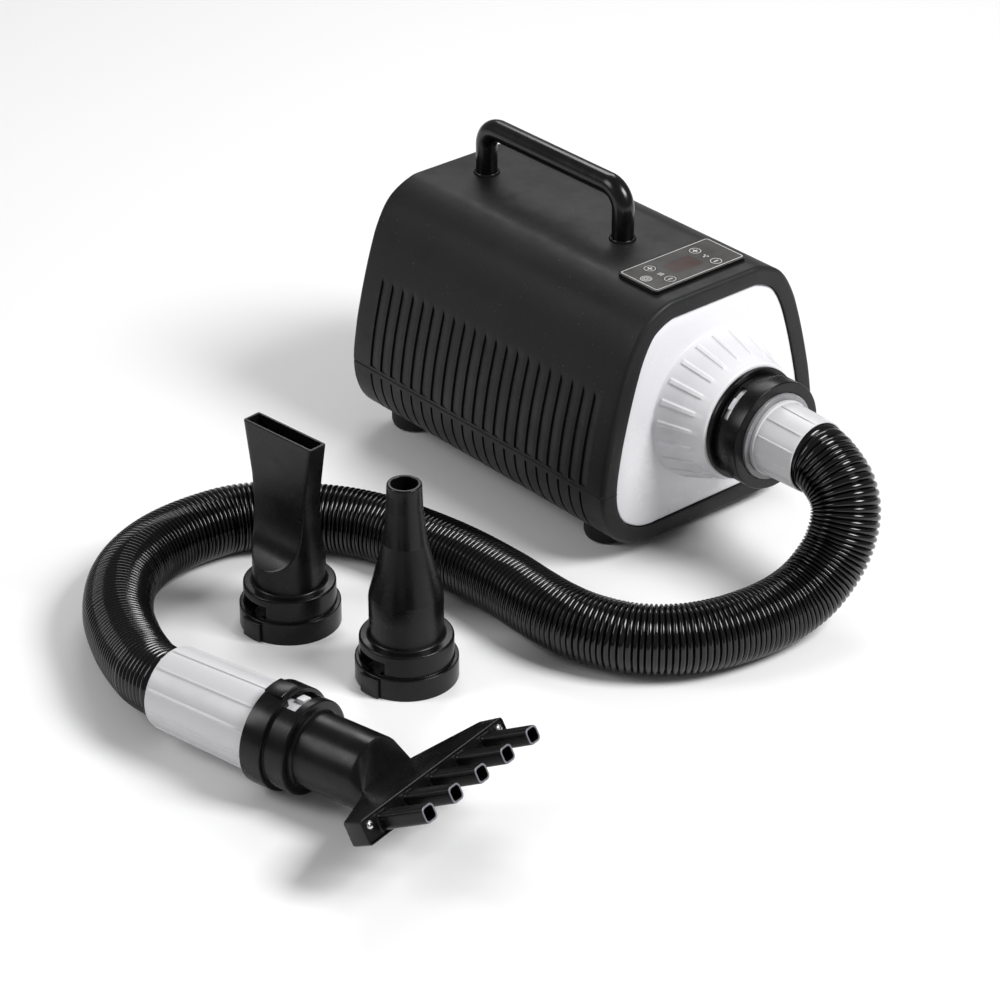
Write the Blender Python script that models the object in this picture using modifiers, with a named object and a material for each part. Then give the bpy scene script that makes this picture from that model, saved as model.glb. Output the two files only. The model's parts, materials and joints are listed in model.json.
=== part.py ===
"""Pet dryer: blower machine, hose with hand grip, comb nozzle and two loose nozzles."""
import math
import bmesh
import bpy
import numpy as np
from mathutils import Matrix, Vector

MM = 0.001

# ---- placing of the pieces in the shared frame (floor at z = 0) ----
MACHINE_X = 117.0 * MM          # front face of the machine
MACHINE_Y = 118.5 * MM          # centre plane of the machine
FLAT_AT = (21.4 * MM, -183.0 * MM)
ROUND_AT = (126.6 * MM, -166.5 * MM)
GRIP_AT = (82.4 * MM, -324.5 * MM)
GRIP_YAW = math.radians(12.7)

# ---- case ----
BODY_LEN = 278.0 * MM
BODY_W = 203.4 * MM
BODY_H = 183.5 * MM
BODY_Z0 = 9.5 * MM              # underside of the case above the floor
SPLIT_UP = 50.1 * MM            # parting line above the underside
WALL = 3.0 * MM
RIM_W = 13.0 * MM
EDGE_R = 5.0 * MM
GAP = 0.3 * MM
SLOT_COUNT = 21
SLOT_PITCH = 11.56 * MM
SLOT_FIRST = -25.0 * MM
SLOT_LIP = 8.0 * MM
SLOT_DEPTH = 1.6 * MM
SLOT_TOP = 121.5 * MM           # above the underside
SLOT_FOOT = 2.5 * MM            # louvres end this far above the parting line
SLIT_W = 1.5 * MM
SLIT_LOW = 12.0 * MM            # lower slits start this far above the underside
SLIT_FOOT = 3.5 * MM
PANEL_BACK = 4.5 * MM           # front and rear panels reach this far into the case

# ---- outlet ----
AXIS_Z = 91.4 * MM              # outlet axis above the underside
FUNNEL_R0 = 55.5 * MM
FUNNEL_R1 = 42.9 * MM
FUNNEL_LEN = 37.0 * MM
FUNNEL_LIP_R = 39.8 * MM
FUNNEL_IN_R0 = 54.0 * MM
FUNNEL_IN_R1 = 52.0 * MM
RIB_X = (2.6 * MM, FUNNEL_LEN - 10.0 * MM)
PANEL_RECESS = 1.5 * MM
RIB_RISE = 1.2 * MM
FLANGE_R = 41.2 * MM
FLANGE_T = 3.4 * MM
SPIGOT_R = 34.6 * MM
SPIGOT_BORE_R = 31.0 * MM
SPIGOT_FOOT_R = 38.6 * MM
# along the outlet axis, measured from the end of the funnel
SPIGOT_X = (FUNNEL_LEN - 4.0 * MM, FUNNEL_LEN - 2.0 * MM, FUNNEL_LEN + 21.0 * MM)   # inner, foot, outer
LUG_X = (FUNNEL_LEN + 7.0 * MM, FUNNEL_LEN + 12.0 * MM)
LUG_RISE = 2.2 * MM
LUG_HALF = math.radians(7)
BAYONET_X = (LUG_X[0] - 0.6 * MM, LUG_X[1] + 0.6 * MM)
BAYONET_PLAY = math.radians(1.2)
TWIST_DOWN = math.radians(10)
TWIST_UP = math.radians(14)
COLLAR_R = 39.6 * MM
COLLAR_LEN = 22.6 * MM
COLLAR_LIP_R = 31.9 * MM
COLLAR_LIP_T = 3.0 * MM
COLLAR_STEP = 9.0 * MM
COLLAR_NECK_R = 37.4 * MM
SWIVEL_R = (24.5 * MM, 31.5 * MM, 34.6 * MM)
SWIVEL_X = (SPIGOT_X[2] + 0.7 * MM, SPIGOT_X[2] + 7.3 * MM)
LUG_AT = math.radians(133.7)
CUFF_R = 26.6 * MM
CUFF_LEN = 37.4 * MM
CUFF_X = SWIVEL_X[1] + GAP
CUFF_HEAD = 2.0 * MM
CUFF_STOP = 7.4 * MM
AIR_R = 22.0 * MM               # air passage of cuff and grip
GRIP_RIBS = 10
CUFF_RIB = 0.7 * MM
GRIP_RIB = 0.8 * MM

# ---- hose ----
HOSE_D = 48.0 * MM
HOSE_FIT = 0.4 * MM
SOCKET = 17.0 * MM

# ---- grip, nozzle sockets ----
RING_A_R = 34.7 * MM
RING_A_H = 16.0 * MM
RING_B_R = 31.7 * MM
RING_B_H = 16.2 * MM
TUBE_R = 24.9 * MM
TUBE_WALL = 2.4 * MM
TAB_R = 37.0 * MM
TAB_HALF = math.radians(13.0)
GRIP_R0 = 27.6 * MM
GRIP_R1 = 29.6 * MM
GRIP_LEN = 85.2 * MM
GRIP_SPIGOT_R = 28.0 * MM
GRIP_SPIGOT_L = 26.0 * MM
GRIP_LUG_AT = (18.2 * MM, 24.2 * MM)
TAB_COMB = math.radians(91.3)
LUG_REL = -math.radians(10)
SOCKET_PLAY = 0.35 * MM
SLOT_LOW = math.radians(32)
SLOT_UP = math.radians(17)
ENTRY_HALF = math.radians(8.2)

# ---- comb nozzle ----
COMB_TUBE_LEN = 48.0 * MM
COMB_BEND = math.radians(29.2)
COMB_BEND_AT = 186.4 * MM       # along the grip axis
COMB_THROW = 33.2 * MM          # bend point to plate
COMB_W = 141.0 * MM
COMB_T = 17.0 * MM
COMB_END_DEPTH = 17.0 * MM
COMB_PITCH = 25.8 * MM
COMB_TUBE_OUT = 11.0 * MM
COMB_TUBE_IN = 8.2 * MM
COMB_TUBE_L = 38.8 * MM
COMB_SCREW_X = 65.2 * MM
COMB_SCREW_UP = 3.0 * MM
COMB_TUBE_END = 79.0 * MM
COMB_NECK = (50.0 * MM, 41.0 * MM)
PLATE_T = 2.2 * MM
COMB_SCREW_R = 1.4 * MM
COMB_SCREW_HEAD_R = 2.9 * MM

# ---- loose nozzles ----
NOZZLE_H = 146.0 * MM
MOUTH_W = 64.5 * MM
MOUTH_T = 14.3 * MM
ROUND_TIP_R = 11.6 * MM
ROUND_BORE_R = 8.7 * MM
ROUND_NECK = (14.6 * MM, 103.0 * MM)
ROUND_TAPER = (12.2 * MM, 128.0 * MM)
ROUND_TAB = math.radians(-83.5)
FLAT_YAW = math.radians(6)
FLAT_TAB = math.radians(-85)
FLAT_WALL = 2.0 * MM
FLAT_SECTIONS = ((62, 49.6, 40), (70, 48.8, 29), (84, 48.0, 20), (108, 51.5, 16))

# ---- handle, feet ----
HANDLE_D = 16.0 * MM
HANDLE_REAR = -242.8 * MM
HANDLE_FRONT = -95.3 * MM
HANDLE_RISE = 37.6 * MM         # bar axis above the case top
HANDLE_BEND = 15.0 * MM
FOOT_R = 16.5 * MM
FOOT_H = 20.0 * MM
FOOT_X = (-39.0 * MM, -255.0 * MM)
FOOT_Y = 0.5 * BODY_W - 39.7 * MM
FOOT_BORE_R = 2.4 * MM
FOOT_WELL_R = 5.0 * MM
FOOT_WELL_H = 7.0 * MM
FOOT_SCREW_R = 2.0 * MM
FOOT_SCREW_HEAD_R = 4.2 * MM
BOLT_R = 2.3 * MM
BOLT_BORE_R = 2.6 * MM
BOLT_HOLE_R = 2.9 * MM
BOLT_HEAD_R = 5.0 * MM
BOLT_HEAD_T = 3.3 * MM

# ---- control panel ----
PANEL_X = -34.2 * MM
PANEL_L = 40.5 * MM
PANEL_WIDE = 85.6 * MM
PANEL_RISE = 2.5 * MM
PANEL_LEDGE = 3.0 * MM
OVERLAY_T = 0.7 * MM
KEY_R = 4.6 * MM
KEY_HOLE_R = 4.9 * MM
WINDOW = (15.0 * MM, 24.0 * MM)
WINDOW_X = -33.5 * MM
WINDOW_FIT = 0.2 * MM
KEYS = {"key_air_plus": (-43.4, 21.0), "key_air_minus": (-22.3, 21.0), "key_heat_plus": (-43.4, -22.0),
        "key_heat_minus": (-22.5, -22.2), "key_power": (-33.4, -34.7)}
SWITCH_HALF = 2.5 * MM
SWITCH_H = 2.6 * MM
BOARD_T = 1.6 * MM
BOARD_DROP = 9.2 * MM           # control board below the case top

# ---- inside ----
SLEEVE_R = 65.3 * MM
FOAM_R = 61.5 * MM
HOUSING_R = 60.0 * MM
MOTOR_R = 42.0 * MM
IMPELLER_R = 50.0 * MM
SHAFT_R = 4.0 * MM
SHAFT_LEN = 96.0 * MM
BLADES = 6
BLADE_R = (10.5 * MM, 49.0 * MM)
BLADE_SWEEP = 0.9
BRACKET_T = 5.0 * MM
BRACKET_W = BODY_W - 107.4 * MM
HEATER_X = -118.0 * MM
HEATER_LEN = 108.0 * MM
HEATER_R = 50.0 * MM
HEATER_FRAME = (96.0 * MM, 84.0 * MM, 1.2 * MM)
COIL_R = 41.0 * MM
COIL_TURNS = 4
COIL_STEPS = 12
POWER_BOARD = (92.0 * MM, 62.0 * MM)
POWER_BOARD_AT = (-78.0 * MM, 0.5 * BODY_W - 27.7 * MM, 96.0 * MM)
CAPACITOR_R = 8.0 * MM
COIL_RUN = (15.0 * MM, 54.0 * MM)
GLAND_IN = 39.7 * MM             # cord gland in from the widest part of the case
GLAND_AT = (GLAND_IN - 0.5 * BODY_W, 42.0 * MM)
GLAND_HOLE_R = 6.3 * MM
INTAKE_R = 54.0 * MM
INTAKE_PITCH = 14.0 * MM
INTAKE_HALF = 1.7 * MM

TOP = BODY_Z0 + BODY_H
AX_Z = BODY_Z0 + AXIS_Z
SPLIT = BODY_Z0 + SPLIT_UP
N = 48                          # points round the case outline


for old in list(bpy.data.objects):
    bpy.data.objects.remove(old, do_unlink=True)
part = bpy.data.collections.new("pet_dryer")
cutters = bpy.data.collections.new("cutters")
bpy.context.scene.collection.children.link(part)
bpy.context.scene.collection.children.link(cutters)

COLOURS = {
    "black_shell": ((0.022, 0.022, 0.024), 0.5, 0.0),
    "black_gloss": ((0.012, 0.012, 0.013), 0.2, 0.0),
    "black_satin": ((0.017, 0.017, 0.018), 0.35, 0.0),
    "white_gloss": ((0.82, 0.82, 0.84), 0.25, 0.0),
    "white_cuff": ((0.68, 0.68, 0.69), 0.4, 0.0),
    "clear_grey": ((0.45, 0.45, 0.46), 0.25, 0.0),
    "rubber": ((0.014, 0.014, 0.014), 0.8, 0.0),
    "overlay": ((0.02, 0.014, 0.012), 0.12, 0.0),
    "display": ((0.12, 0.028, 0.022), 0.2, 0.0),
    "key": ((0.03, 0.024, 0.022), 0.25, 0.0),
    "steel": ((0.6, 0.6, 0.6), 0.3, 1.0),
    "zinc": ((0.5, 0.5, 0.48), 0.4, 1.0),
    "aluminium": ((0.7, 0.7, 0.71), 0.35, 1.0),
    "nickel_chrome": ((0.35, 0.32, 0.3), 0.4, 1.0),
    "mica": ((0.55, 0.45, 0.3), 0.6, 0.0),
    "pcb": ((0.02, 0.13, 0.05), 0.45, 0.0),
    "foam": ((0.03, 0.03, 0.032), 0.95, 0.0),
    "nylon": ((0.6, 0.58, 0.52), 0.5, 0.0),
    "led": ((0.08, 0.08, 0.08), 0.4, 0.0),
}


def material(kind, name):
    colour, rough, metal = COLOURS[kind]
    mat = bpy.data.materials.new(name)
    mat.use_nodes = True
    shader = mat.node_tree.nodes["Principled BSDF"]
    shader.inputs["Base Color"].default_value = (*colour, 1.0)
    shader.inputs["Roughness"].default_value = rough
    shader.inputs["Metallic"].default_value = metal
    mat.diffuse_color = (*colour, 1.0)
    return mat


def add(name, verts, faces, kind, at=(0, 0, 0), turn=None, fix=True):
    """Object from local points; kind None makes a cutter."""
    mesh = bpy.data.meshes.new(name)
    mesh.from_pydata([tuple(v) for v in verts], [], faces)
    mesh.update()
    if fix and faces:
        bm = bmesh.new()
        bm.from_mesh(mesh)
        bmesh.ops.recalc_face_normals(bm, faces=bm.faces)
        bm.to_mesh(mesh)
        bm.free()
    obj = bpy.data.objects.new(name, mesh)
    obj.matrix_world = Matrix.Translation(at) @ (turn.to_4x4() if turn else Matrix.Identity(4))
    if kind is None:
        obj.hide_render = True
        obj.display_type = "WIRE"
        cutters.objects.link(obj)
    else:
        mesh.materials.append(material(kind, name))
        part.objects.link(obj)
    return obj


def loft(name, rings, kind, closed=False, **kw):
    """Skin over rings of equal length; closed joins the last ring to the first."""
    n = len(rings[0])
    verts = [p for ring in rings for p in ring]
    faces = []
    steps = len(rings) if closed else len(rings) - 1
    for k in range(steps):
        a, b = k * n, ((k + 1) % len(rings)) * n
        for i in range(n):
            j = (i + 1) % n
            faces.append((a + i, a + j, b + j, b + i))
    if not closed:
        faces.append(tuple(range(n - 1, -1, -1)))
        faces.append(tuple((len(rings) - 1) * n + i for i in range(n)))
    return add(name, verts, faces, kind, **kw)


def box(name, size, at, kind, turn=None):
    obj = add(name, [], [], kind, at=at, turn=turn)
    bm = bmesh.new()
    bmesh.ops.create_cube(bm, size=1.0, matrix=Matrix.Diagonal((*size, 1.0)))
    bm.to_mesh(obj.data)
    bm.free()
    return obj


def turned(name, profile, kind, at=(0, 0, 0), turn=None, steps=36, ring=False):
    """Screw modifier over (radius, height) points; the outer side runs downwards."""
    edges = [(i, i + 1) for i in range(len(profile) - 1)]
    if ring:
        edges.append((len(profile) - 1, 0))
    obj = add(name, [(r, 0, h) for r, h in profile], [], kind, at=at, turn=turn)
    mesh = obj.data
    mesh.clear_geometry()
    mesh.from_pydata([(r, 0, h) for r, h in profile], edges, [])
    mod = obj.modifiers.new("turn", "SCREW")
    mod.axis = "Z"
    mod.steps = mod.render_steps = steps
    mod.use_merge_vertices = True
    mod.merge_threshold = 0.00001
    return obj


def combine(obj, other, operation):
    mod = obj.modifiers.new(operation.lower(), "BOOLEAN")
    mod.operation = operation
    mod.solver = "EXACT"
    mod.object = other
    return obj


def cut(obj, other):
    return combine(obj, other, "DIFFERENCE")


def join_solids(name, solids):
    """One cutter made of separate solids, each a list of rings."""
    verts, faces = [], []
    for rings in solids:
        n, base = len(rings[0]), len(verts)
        verts += [p for ring in rings for p in ring]
        for k in range(len(rings) - 1):
            for i in range(n):
                j = (i + 1) % n
                a, b = base + k * n, base + (k + 1) * n
                faces.append((a + i, a + j, b + j, b + i))
        faces.append(tuple(base + i for i in range(n - 1, -1, -1)))
        faces.append(tuple(base + (len(rings) - 1) * n + i for i in range(n)))
    return add(name, verts, faces, None)


def along(direction):
    """Rotation taking local +Z to the direction."""
    return Vector(direction).to_track_quat("Z", "Y").to_matrix()


def machine(x, y, z):
    return Vector((MACHINE_X + x, MACHINE_Y + y, z))


FORWARD = Matrix(((0, 0, 1), (0, 1, 0), (-1, 0, 0)))    # local Z to +X
BACKWARD = Matrix(((0, 0, -1), (0, 1, 0), (1, 0, 0)))   # local Z to -X


def on_axis(x):
    return machine(x, 0, AX_Z)


# ---- case outline, sampled round the outlet axis ----
HALF = [(0, 1), (.3, 1), (.4, .999), (.46, .991), (.53, .976), (.605, .953), (.66, .9265), (.704, .894),
        (.743, .856), (.78, .812), (.812, .763), (.851, .695), (.888, .623), (.922, .55), (.956, .469),
        (.983, .384), (1.0, .308), (.999, .237), (.981, .18), (.94, .123), (.88, .078), (.818, .05),
        (.728, .0225), (.649, .008), (.57, .001), (.49, 0), (0, 0)]


def smooth(points, per=8):
    """Catmull-Rom points through the given ones, ends kept."""
    pts = [np.array(p, float) for p in points]
    pts = [2 * pts[0] - pts[1]] + pts + [2 * pts[-1] - pts[-2]]
    out = []
    for a, b, c, d in zip(pts, pts[1:], pts[2:], pts[3:]):
        for k in range(per):
            t = k / per
            out.append(0.5 * (2 * b + (c - a) * t + (2 * a - 5 * b + 4 * c - d) * t * t
                              + (3 * b - a - 3 * c + d) * t ** 3))
    out.append(pts[-2])
    return out


def case_points():
    half = [(p[0] * 0.5 * BODY_W, BODY_Z0 + p[1] * BODY_H) for p in smooth(HALF)]
    loop = half + [(-y, z) for y, z in half[-2:0:-1]]
    loop = np.array(loop)
    ang = np.unwrap(np.arctan2(loop[:, 1] - AX_Z, loop[:, 0]))
    order = np.argsort(ang)
    ang, loop = ang[order], loop[order]
    ang = np.concatenate([ang - 2 * np.pi, ang, ang + 2 * np.pi])
    loop = np.concatenate([loop, loop, loop])
    want = np.arange(N) * 2 * np.pi / N
    pts = np.stack([np.interp(want, ang, loop[:, k]) for k in (0, 1)], 1)
    side = np.roll(pts, -1, 0) - np.roll(pts, 1, 0)
    out = np.stack([side[:, 1], -side[:, 0]], 1)
    out /= np.linalg.norm(out, axis=1)[:, None]
    return pts, out


CASE, CASE_OUT = case_points()


def case_ring(x, inset):
    pts = CASE - CASE_OUT * inset
    return [machine(x, y, z) for y, z in pts]


def round_ring(x, r):
    return [machine(x, r * math.cos(2 * math.pi * i / N), AX_Z + r * math.sin(2 * math.pi * i / N))
            for i in range(N)]


# ---- case shells ----
def shell(name, low, high):
    e, b, back = EDGE_R, -BODY_LEN, WALL + 1 * MM
    rings = [case_ring(0, RIM_W), case_ring(0, e), case_ring(-.3 * e, .3 * e), case_ring(-e, 0),
             case_ring(b + e, 0), case_ring(b, e), case_ring(b, RIM_W),
             case_ring(b + back, RIM_W), case_ring(b + back, WALL), case_ring(-back, WALL),
             case_ring(-back, RIM_W)]
    obj = loft(name, rings, "black_shell", closed=True)
    half = box(name + "_half", (2 * BODY_LEN, 2 * BODY_W, high - low),
               machine(-0.5 * BODY_LEN, 0, 0.5 * (low + high)), None)
    return combine(obj, half, "INTERSECT")


def surface_y(z, inset=0.0):
    """Half width of the case at a height."""
    right = CASE[:, 0] > 0.3 * BODY_W
    zs, ys = CASE[right, 1], CASE[right, 0]
    order = np.argsort(zs)
    return float(np.interp(z, zs[order], ys[order])) - inset


def side_slots(name, z0, z1, width, taper, parts=2):
    """Cutters for the row of slots on both sides; tapered ones run out flush at the front."""
    solids = []
    levels = [z0 + (z1 - z0) * k / parts for k in range(parts + 1)]
    for sign in (-1, 1):
        for k in range(SLOT_COUNT):
            x = SLOT_FIRST - k * SLOT_PITCH
            rings = []
            for dx, depth in ((0, SLOT_DEPTH), (width, SLOT_DEPTH if not taper else 0.05 * MM)):
                inner = [machine(x + dx, sign * (surface_y(z) - depth), z) for z in levels]
                outer = [machine(x + dx, sign * (surface_y(z) + 2 * MM), z) for z in reversed(levels)]
                rings.append(inner + outer)
            solids.append(rings)
    return join_solids(name, solids)


upper = shell("upper_shell", SPLIT + 0.5 * GAP, TOP + 20 * MM)
lower = shell("lower_shell", -10 * MM, SPLIT - 0.5 * GAP)
cut(upper, side_slots("upper_louvres", SPLIT + SLOT_FOOT, BODY_Z0 + SLOT_TOP, SLOT_LIP, True))
cut(lower, side_slots("lower_slits", BODY_Z0 + SLIT_LOW, SPLIT - SLIT_FOOT, SLIT_W, False))
cut(upper, box("panel_hole", (PANEL_L - 2 * PANEL_LEDGE, PANEL_WIDE - 2 * PANEL_LEDGE, 30 * MM),
               machine(PANEL_X, 0, TOP), None))
for tag, x in (("front", HANDLE_FRONT), ("rear", HANDLE_REAR)):
    cut(upper, turned("bolt_hole_" + tag, [(0, 20 * MM), (BOLT_HOLE_R, 20 * MM), (BOLT_HOLE_R, 0), (0, 0)],
                      None,
                      at=machine(x, 0, TOP - 10 * MM), steps=16))
for ix, fx in enumerate(FOOT_X):
    for iy, fy in enumerate((-FOOT_Y, FOOT_Y)):
        tag = ("front", "rear")[ix] + ("_right", "_left")[iy]
        cut(lower, turned("foot_hole_" + tag, [(0, 40 * MM), (FOOT_R + GAP, 40 * MM), (FOOT_R + GAP, 0),
                                               (0, 0)],
                          None, at=machine(fx, fy, 0), steps=18))
        turned("foot_" + tag, [(FOOT_BORE_R, FOOT_H), (FOOT_R, FOOT_H), (FOOT_R, 6 * MM),
                               (FOOT_R - 1.4 * MM, 2.4 * MM),
                               (FOOT_R - 5 * MM, 0), (FOOT_WELL_R, 0), (FOOT_WELL_R, FOOT_WELL_H),
                               (FOOT_BORE_R, FOOT_WELL_H)], "rubber",
               at=machine(fx, fy, 0), steps=18, ring=True)
        turned("foot_screw_" + tag, [(0, FOOT_H + 4 * MM), (FOOT_SCREW_R, FOOT_H + 4 * MM),
                                     (FOOT_SCREW_R, FOOT_WELL_H - GAP),
                                     (FOOT_SCREW_HEAD_R, FOOT_WELL_H - GAP),
                                     (FOOT_SCREW_HEAD_R, FOOT_WELL_H - 2.6 * MM),
                                     (0, FOOT_WELL_H - 3.2 * MM)], "zinc",
               at=machine(fx, fy, 0), steps=10)

# ---- front panel with the outlet funnel ----
def ribbed(x, r):
    """Circle with alternate stretches raised into ribs."""
    ring = []
    for i in range(N):
        a = 2 * math.pi * (i + 0.5) / N
        rr = r + (RIB_RISE if i % 3 == 0 else 0)
        ring.append(machine(x, rr * math.cos(a), AX_Z + rr * math.sin(a)))
    return ring


def cone_r(x):
    return FUNNEL_R0 - (FUNNEL_R0 - FUNNEL_R1) * x / FUNNEL_LEN


smooth_from = RIB_X[1] + 1.5 * MM
loft("front_panel", [
    case_ring(-PANEL_BACK, RIM_W + GAP), case_ring(-PANEL_RECESS, RIM_W + GAP),
    round_ring(-PANEL_RECESS, FUNNEL_R0 + 2.2 * MM), round_ring(0, FUNNEL_R0),
    ribbed(RIB_X[0], cone_r(RIB_X[0])), ribbed(RIB_X[1], cone_r(RIB_X[1])),
    round_ring(smooth_from, cone_r(smooth_from)), round_ring(FUNNEL_LEN, FUNNEL_R1),
    round_ring(FUNNEL_LEN, FUNNEL_LIP_R), round_ring(0, FUNNEL_IN_R1),
    round_ring(-PANEL_BACK, FUNNEL_IN_R0)],
    "white_gloss", closed=True)

# ---- outlet: flange, spigot, bayonet collar, swivel ring, cuff ----
FX = FUNNEL_LEN + GAP
turned("outlet_flange", [(SPIGOT_R + GAP, FLANGE_T), (FLANGE_R - 0.6 * MM, FLANGE_T),
                         (FLANGE_R, FLANGE_T - 0.8 * MM),
                         (FLANGE_R, 0), (SPIGOT_R + GAP, 0)], "black_satin", at=on_axis(FX), turn=FORWARD,
       steps=36, ring=True)
inner_x, foot_x, end_x = SPIGOT_X
spigot = turned("outlet_spigot", [(SPIGOT_BORE_R, end_x), (SPIGOT_R, end_x), (SPIGOT_R, foot_x),
                                  (SPIGOT_FOOT_R, foot_x), (SPIGOT_FOOT_R, inner_x),
                                  (SPIGOT_BORE_R, inner_x)],
                "white_gloss", at=on_axis(0), turn=FORWARD, steps=36, ring=True)


def arc_block(name, x0, x1, r0, r1, centre, half, kind=None, at=None, turn=None, n=6):
    """Block bent round the local Z axis, from x0 to x1 along it."""
    rings = []
    for h in (x0, x1):
        ring = [(r0 * math.cos(centre - half + 2 * half * k / n),
                 r0 * math.sin(centre - half + 2 * half * k / n), h)
                for k in range(n + 1)]
        ring += [(r1 * math.cos(centre + half - 2 * half * k / n),
                  r1 * math.sin(centre + half - 2 * half * k / n), h)
                 for k in range(n + 1)]
        rings.append(ring)
    return loft(name, rings, kind, at=at, turn=turn)


def outlet_angle(a):
    """World angle about +X (from +Y to +Z) as a local angle of the FORWARD turn."""
    v = FORWARD.transposed() @ Vector((0, math.cos(a), math.sin(a)))
    return math.atan2(v.y, v.x)


for k, a in enumerate((LUG_AT, LUG_AT + math.pi)):
    combine(spigot, arc_block("spigot_lug_%d" % k, *LUG_X, SPIGOT_R - 1 * MM, SPIGOT_R + LUG_RISE,
                              outlet_angle(a), LUG_HALF, at=on_axis(0), turn=FORWARD), "UNION")
CX = FX + FLANGE_T + GAP
cl = COLLAR_LEN
collar = turned("outlet_collar", [(COLLAR_LIP_R, cl), (COLLAR_R - 1 * MM, cl), (COLLAR_R, cl - 1 * MM),
                                  (COLLAR_R, COLLAR_STEP + 0.5 * MM), (COLLAR_NECK_R, COLLAR_STEP),
                                  (COLLAR_NECK_R, 0), (SPIGOT_R + 0.4 * MM, 0),
                                  (SPIGOT_R + 0.4 * MM, cl - COLLAR_LIP_T),
                                  (COLLAR_LIP_R, cl - COLLAR_LIP_T)], "black_satin", at=on_axis(CX),
                                  turn=FORWARD,
                steps=36, ring=True)
for k, a in enumerate((LUG_AT, LUG_AT + math.pi)):
    mid = outlet_angle(a - 0.5 * (TWIST_UP - TWIST_DOWN))
    cut(collar, arc_block("collar_slot_%d" % k, BAYONET_X[0] - CX, BAYONET_X[1] - CX, SPIGOT_R - 1 * MM,
                          COLLAR_R + 2 * MM, mid, LUG_HALF + 0.5 * (TWIST_UP + TWIST_DOWN) + BAYONET_PLAY,
                          at=on_axis(CX), turn=FORWARD, n=10))
shoulder = CX + cl - COLLAR_LIP_T - 0.4 * MM
bore, neck_r, foot_r = SWIVEL_R
turned("swivel_ring", [(bore, SWIVEL_X[1]), (neck_r, SWIVEL_X[1]), (neck_r, shoulder), (foot_r, shoulder),
                       (foot_r, SWIVEL_X[0]), (bore, SWIVEL_X[0])], "clear_grey", at=on_axis(0),
                       turn=FORWARD,
       steps=32, ring=True)
HR = 0.5 * HOSE_D


def ribbed_tube(name, outer, inner, kind, at, turn, ribs, rise):
    """Tube from (height, radius, has ribs) rings; narrow ribs at every fourth point."""
    n = ribs * 4
    rings = []
    for h, r, rib in outer:
        rings.append([((r + (rise if rib and i % 4 == 0 else 0)) * math.cos(2 * math.pi * i / n),
                       (r + (rise if rib and i % 4 == 0 else 0)) * math.sin(2 * math.pi * i / n), h)
                      for i in range(n)])
    for h, r in inner:
        rings.append([(r * math.cos(2 * math.pi * i / n), r * math.sin(2 * math.pi * i / n),
                       h) for i in range(n)])
    return loft(name, rings, kind, closed=True, at=at, turn=turn)


ribbed_tube("hose_cuff", [(0, CUFF_R + 1 * MM, 0), (CUFF_HEAD, CUFF_R + 1 * MM, 0),
                          (CUFF_HEAD + 0.6 * MM, CUFF_R, 1), (CUFF_LEN, CUFF_R - 0.7 * MM, 1)],
            [(CUFF_LEN, HR + HOSE_FIT), (CUFF_STOP, HR + HOSE_FIT), (CUFF_STOP - 0.5 * MM, AIR_R),
             (0, AIR_R)],
            "white_cuff", on_axis(CUFF_X), FORWARD, GRIP_RIBS, CUFF_RIB)

# ---- hose ----
HOSE_START = CUFF_X + CUFF_STOP + GAP
GRIP_DIR = Vector((math.cos(GRIP_YAW), math.sin(GRIP_YAW), 0))
GRIP_ORIGIN = Vector((GRIP_AT[0], GRIP_AT[1], RING_A_R))
ROUTE = [(233.0, 117.9, 97.2), (243.6, 117.0, 91.0), (250.8, 115.2, 83.3), (255.3, 112.4, 74.8),
         (258.2, 107.8, 64.6), (259.8, 100.6, 52.8), (260.4, 90.0, 42.2), (260.4, 75.5, 32.6),
         (259.6, 57.0, 26.4),
         (258.6, 35.5, 24.4), (256.2, 16.1, 24.1), (252.4, -0.7, 24.1), (246.2, -17.0, 24.1),
         (237.2, -31.5, 24.1),
         (226.0, -43.8, 24.1), (212.0, -54.2, 24.1), (189.5, -63.6, 24.1), (166.3, -67.5, 24.1),
         (140.5, -68.0, 24.1),
         (112.0, -67.2, 24.1), (67.3, -69.8, 24.1), (26.2, -77.4, 24.1), (-1.0, -85.4, 24.1),
         (-20.6, -94.6, 24.1),
         (-37.5, -106.0, 24.1), (-60.0, -125.5, 24.1), (-72.5, -141.8, 24.1), (-80.4, -160.0, 24.1),
         (-83.9, -184.0, 24.1), (-83.9, -203.0, 24.1), (-81.6, -219.0, 24.1), (-77.0, -234.0, 24.1),
         (-69.6, -249.4, 24.1), (-59.6, -263.6, 24.1), (-47.6, -275.6, 24.1), (-33.2, -286.8, 24.1),
         (-18.4, -296.0, 24.2), (-2.2, -303.6, 24.5), (14.0, -310.4, 25.6), (35.0, -317.8, 28.2),
         (57.0, -324.0, 31.6)]
route = [on_axis(CUFF_X + CUFF_LEN + 3.5 * MM)]
route += [Vector(p) * MM for p in ROUTE]
route += [GRIP_ORIGIN - GRIP_DIR * 2.5 * MM]
line = smooth([tuple(p) for p in route], 4)
lengths = np.concatenate([[0], np.cumsum([np.linalg.norm(b - a) for a, b in zip(line, line[1:])])])
even = np.linspace(0, lengths[-1], 60)
line = np.stack([np.interp(even, lengths, np.array(line)[:, k]) for k in range(3)], 1)
line = [on_axis(HOSE_START), *line, GRIP_ORIGIN + GRIP_DIR * (SOCKET - 1 * MM)]
curve = bpy.data.curves.new("hose", "CURVE")
curve.dimensions = "3D"
curve.bevel_depth = HR
curve.bevel_resolution = 2
curve.use_fill_caps = True
spline = curve.splines.new("POLY")
spline.points.add(len(line) - 1)
for point, co in zip(spline.points, line):
    point.co = (*co, 1.0)
hose = bpy.data.objects.new("hose", curve)
curve.materials.append(material("black_gloss", "hose"))
part.objects.link(hose)

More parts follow.
